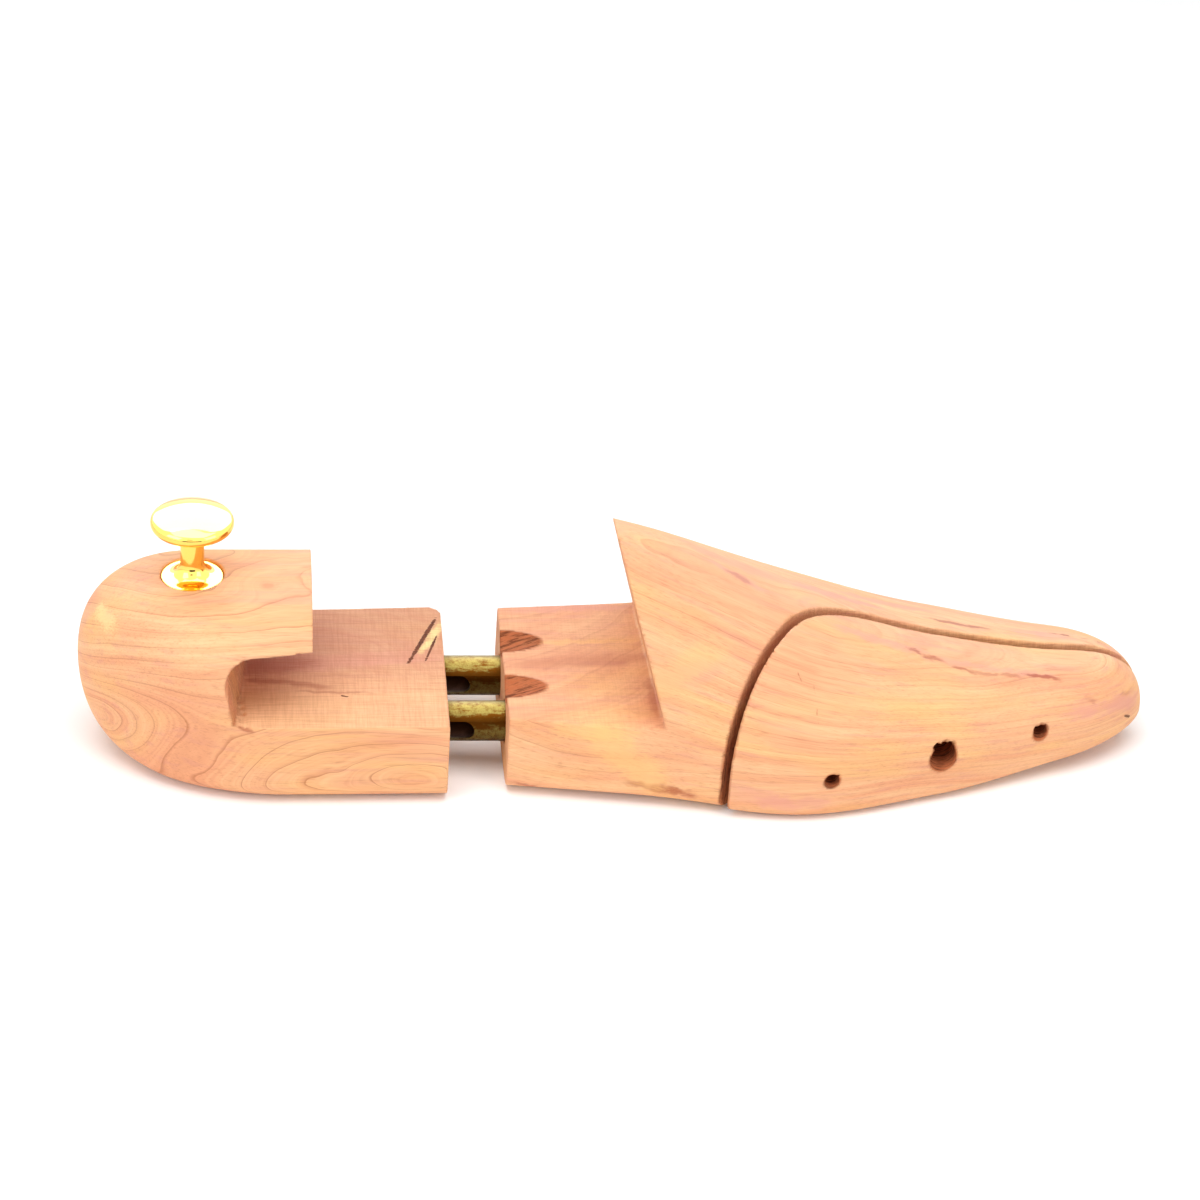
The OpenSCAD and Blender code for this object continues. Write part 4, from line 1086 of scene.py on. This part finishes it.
class SHOETREE_OT_fastenings(bpy.types.Operator):
    """Make the pins and screws that hold the shoe tree together"""
    bl_idname = "shoetree.fastenings"
    bl_label = "Pins and screws"

    def execute(self, context):
        scene = context.scene
        m, k, tones = scene.shoetree_metal, scene.shoetree_split, scene.shoetree_brass
        metal = steel("pin_steel", tones.steel)
        x, d, low, high = m.cross_pin
        pin = dowel("cross_pin_dowel", (x, low, m.height), (x, high, m.height), d / 2)
        finish(pin, metal, "heel", "steel", "cross_pin")
        for name, x in zip(("rear", "front"), k.pins):
            z = row_height(k, x)
            start, end = kerf_y(k, x, -k.kerf / 2) - k.pin_run, kerf_y(k, x, k.kerf / 2) + k.pin_set
            finish(dowel("guide_pin_%s_dowel" % name, (x, start, z), (x, end, z), k.pin / 2, 0.0005), metal,
                   "forepart", "steel", "guide_pin_" + name)
        d, in_wood, in_knob = m.hanger
        kx, seat = m.knob_at
        pitch, deep = 0.0014, 0.0005
        thread = [(0, 0)]
        turns = int((in_wood + in_knob) / pitch)
        for i in range(turns):
            base = i * pitch + 0.0004
            thread += [(d / 2 - deep, base), (d / 2, base + pitch / 2), (d / 2 - deep, base + pitch * 0.9)]
        thread += [(d / 2 - deep, in_wood + in_knob), (0, in_wood + in_knob)]
        finish(turned("knob_screw_threaded", thread, (kx, 0, seat - in_wood), (0, 0, 1), 40), metal, "heel",
               "steel", "knob_screw")
        main_end, _, head_seat = toe_seats(k)
        wide, thick = k.head
        outline = [(0, 0)] + [(wide / 2 * math.sin(a), thick * 0.75 * (1 - math.cos(a)) * 1.33)
                              for a in (0.3, 0.6, 0.9, 1.2, 1.4)]
        outline += [(wide / 2, thick * 0.95), (wide / 2, thick), (k.shank / 2, thick)]
        tip = main_end + k.screw_set - head_seat + thick
        outline += [(k.shank / 2, tip - 0.003), (0.0004, tip), (0, tip)]
        screw = turned("toe_screw_turned", outline, (k.screw, head_seat - thick, k.row_height), (0, 1, 0), 48)
        slot = keyway(k.screw - 0.005, k.screw + 0.005, k.row_height - 0.0005, k.row_height + 0.0005,
                      head_seat - thick - 0.001, 0.0022)
        screw = shaped(screw, [slot])
        screw.data.shade_smooth()
        screw.data.set_sharp_from_angle(angle=math.radians(38))
        # On the screw the painted dark reflection band lies below 10 mm and barely reaches it
        finish(screw, brass("screw_brass", tones, tones.tube, 0.3, 0.6, (5, 10)), "forepart", "screw_brass",
               "toe_screw")
        return {"FINISHED"}


# ---------------------------------------------------------------- studio

# Where the lamps and cards look, then each one's name, place, width, height, and a lamp's power
TARGET = (0.09, 0, 0.02)
LAMPS = [
    ("lamp_above", (0.05, -0.15, 1.3), 1.6, 1.1, 17.2),
    ("lamp_left", (-0.9, -0.7, 0.7), 0.8, 0.8, 5.8),
    ("lamp_right", (1.1, -0.9, 0.6), 0.8, 0.8, 4.4),
]
CARDS = [
    ("studio_card_0", (0.0, -0.55, 0.05), 0.5, 0.12),
    ("studio_card_1", (-0.1, -0.75, 0.42), 0.22, 0.1),
    ("studio_wall", (0.1, 1.3, 1.25), 3.4, 1.9),
]
WALL_GLOW = 7.0


def lamp(name, place, wide, high, power):
    """A soft rectangular lamp."""
    data = bpy.data.lights.new(name, "AREA")
    data.shape, data.size, data.size_y, data.energy = "RECTANGLE", wide, high, power
    obj = bpy.data.objects.new(name, data)
    obj.location = place
    obj.rotation_euler = (Vector(TARGET) - Vector(place)).to_track_quat("-Z", "Y").to_euler()
    bpy.context.scene.collection.objects.link(obj)


def card(name, place, wide, high, bench):
    """A card that only reflections show."""
    bm = bmesh.new()
    bmesh.ops.create_grid(bm, x_segments=1, y_segments=1, size=0.5)
    bmesh.ops.scale(bm, vec=(wide, high, 1), verts=bm.verts)
    look = (Vector(TARGET) - Vector(place)).to_track_quat("Z", "Y").to_matrix().to_4x4()
    bmesh.ops.transform(bm, matrix=Matrix.Translation(place) @ look, verts=bm.verts)
    obj = new_object(bm, name)
    obj.data.materials.append(bench.owner)
    obj.visible_camera = obj.visible_diffuse = obj.visible_shadow = False


class SHOETREE_OT_studio(bpy.types.Operator):
    """Set up the floor, the lamps, the reflecting cards and the camera"""
    bl_idname = "shoetree.studio"
    bl_label = "Studio"

    def execute(self, context):
        scene, s = context.scene, context.scene.shoetree_studio
        bm = bmesh.new()
        bmesh.ops.create_grid(bm, x_segments=1, y_segments=1, size=6)
        bmesh.ops.translate(bm, vec=(0.1, 0, -0.00005), verts=bm.verts)
        floor = new_object(bm, "studio_floor")
        b = Bench(bpy.data.materials.new("studio_white"))
        p = b.points()
        grain = b.band(b.noise(p, 0.02, 3), 0.3, 0.7, 0.985, 1.0)
        paper = b.add("ShaderNodeBsdfDiffuse", inputs={0: b.join(grain, grain, grain)})
        # Far from the shoe tree the floor is as white as the room
        off = b.vector("MULTIPLY", b.vector("SUBTRACT", p, (90, 0, 0)), (0.001, 0.001, 0))
        far = b.band(b.vector("DOT_PRODUCT", off, off), 0.3, 1.6)
        room = b.add("ShaderNodeEmission", inputs={0: (1, 1, 1)})
        white = b.add("ShaderNodeMixShader", inputs={0: far, 1: paper, 2: room})
        b.add("ShaderNodeOutputMaterial", inputs={0: white})
        floor.data.materials.append(b.owner)
        b = Bench(bpy.data.worlds.new("studio_world"))
        scene.world = b.owner
        seen = b.add("ShaderNodeLightPath", output="Is Camera Ray")
        glossy = b.add("ShaderNodeLightPath", output="Is Glossy Ray")
        sky = b.add("ShaderNodeBackground", inputs={0: (1, 1, 1), 1: seen * 0.6 + glossy * 1.4 + 0.4})
        b.add("ShaderNodeOutputWorld", inputs={0: sky})
        for name, place, wide, high, power in LAMPS:
            lamp(name, place, wide, high, power)
        dark, glow = (Bench(bpy.data.materials.new("studio_" + name)) for name in ("dark", "glow"))
        cloth = dark.add("ShaderNodeBsdfDiffuse", inputs={0: (0.01, 0.01, 0.01)})
        dark.add("ShaderNodeOutputMaterial", inputs={0: cloth})
        light = glow.add("ShaderNodeEmission", inputs={0: (1, 1, 1), 1: WALL_GLOW})
        glow.add("ShaderNodeOutputMaterial", inputs={0: light})
        for name, place, wide, high in CARDS:
            card(name, place, wide, high, glow if name == "studio_wall" else dark)
        pitch, yaw, roll = s.pitch, s.yaw, s.roll
        look = Vector((math.sin(yaw) * math.cos(pitch), math.cos(yaw) * math.cos(pitch), -math.sin(pitch)))
        level = Vector((math.cos(yaw), -math.sin(yaw), 0))
        upward = level.cross(look)
        right = level * math.cos(roll) + upward * math.sin(roll)
        above = upward * math.cos(roll) - level * math.sin(roll)
        span = s.lens / 36 * 1200
        eye = Vector(s.anchor) - span * s.scale * (
            look + right * (s.anchor_x - 600) / span + above * (600 - s.anchor_y) / span)
        data = bpy.data.cameras.new("studio_camera")
        data.lens, data.sensor_width, data.clip_start = s.lens, 36, 0.01
        camera = bpy.data.objects.new("studio_camera", data)
        turn = Matrix((right, above, -look)).transposed().to_4x4()
        camera.matrix_world = Matrix.Translation(eye) @ turn
        scene.collection.objects.link(camera)
        scene.camera = camera
        scene.view_settings.view_transform = "Standard"
        return {"FINISHED"}


GROUPS = {
    "shoetree_heel": HeelSizes, "shoetree_fore": ForepartSizes, "shoetree_split": SplitSizes,
    "shoetree_metal": MetalSizes, "shoetree_cedar": CedarTones, "shoetree_brass": MetalTones,
    "shoetree_studio": StudioSettings,
}
PIECES = (SHOETREE_OT_heel, SHOETREE_OT_instep, SHOETREE_OT_toe_side, SHOETREE_OT_knob, SHOETREE_OT_tubes,
          SHOETREE_OT_springs, SHOETREE_OT_fastenings, SHOETREE_OT_studio)


class SHOETREE_PT_panel(bpy.types.Panel):
    """Lists the pieces of the shoe tree"""
    bl_idname = "SHOETREE_PT_panel"
    bl_label = "Shoe Tree"
    bl_space_type = "VIEW_3D"
    bl_region_type = "UI"
    bl_category = "Shoe Tree"

    def draw(self, context):
        for operator in PIECES:
            self.layout.operator(operator.bl_idname)
        for group in GROUPS:
            box = self.layout.box()
            for key in GROUPS[group].__annotations__:
                box.prop(getattr(context.scene, group), key)


def register():
    for group, kind in GROUPS.items():
        bpy.utils.register_class(kind)
        setattr(bpy.types.Scene, group, bpy.props.PointerProperty(type=kind))
    for kind in (*PIECES, SHOETREE_PT_panel):
        bpy.utils.register_class(kind)


def unregister():
    for kind in (SHOETREE_PT_panel, *reversed(PIECES)):
        bpy.utils.unregister_class(kind)
    for group, kind in reversed(GROUPS.items()):
        delattr(bpy.types.Scene, group)
        bpy.utils.unregister_class(kind)


def main():
    register()
    for operator in PIECES:
        family, name = operator.bl_idname.split(".")
        getattr(getattr(bpy.ops, family), name)()


if __name__ == "__main__":
    main()
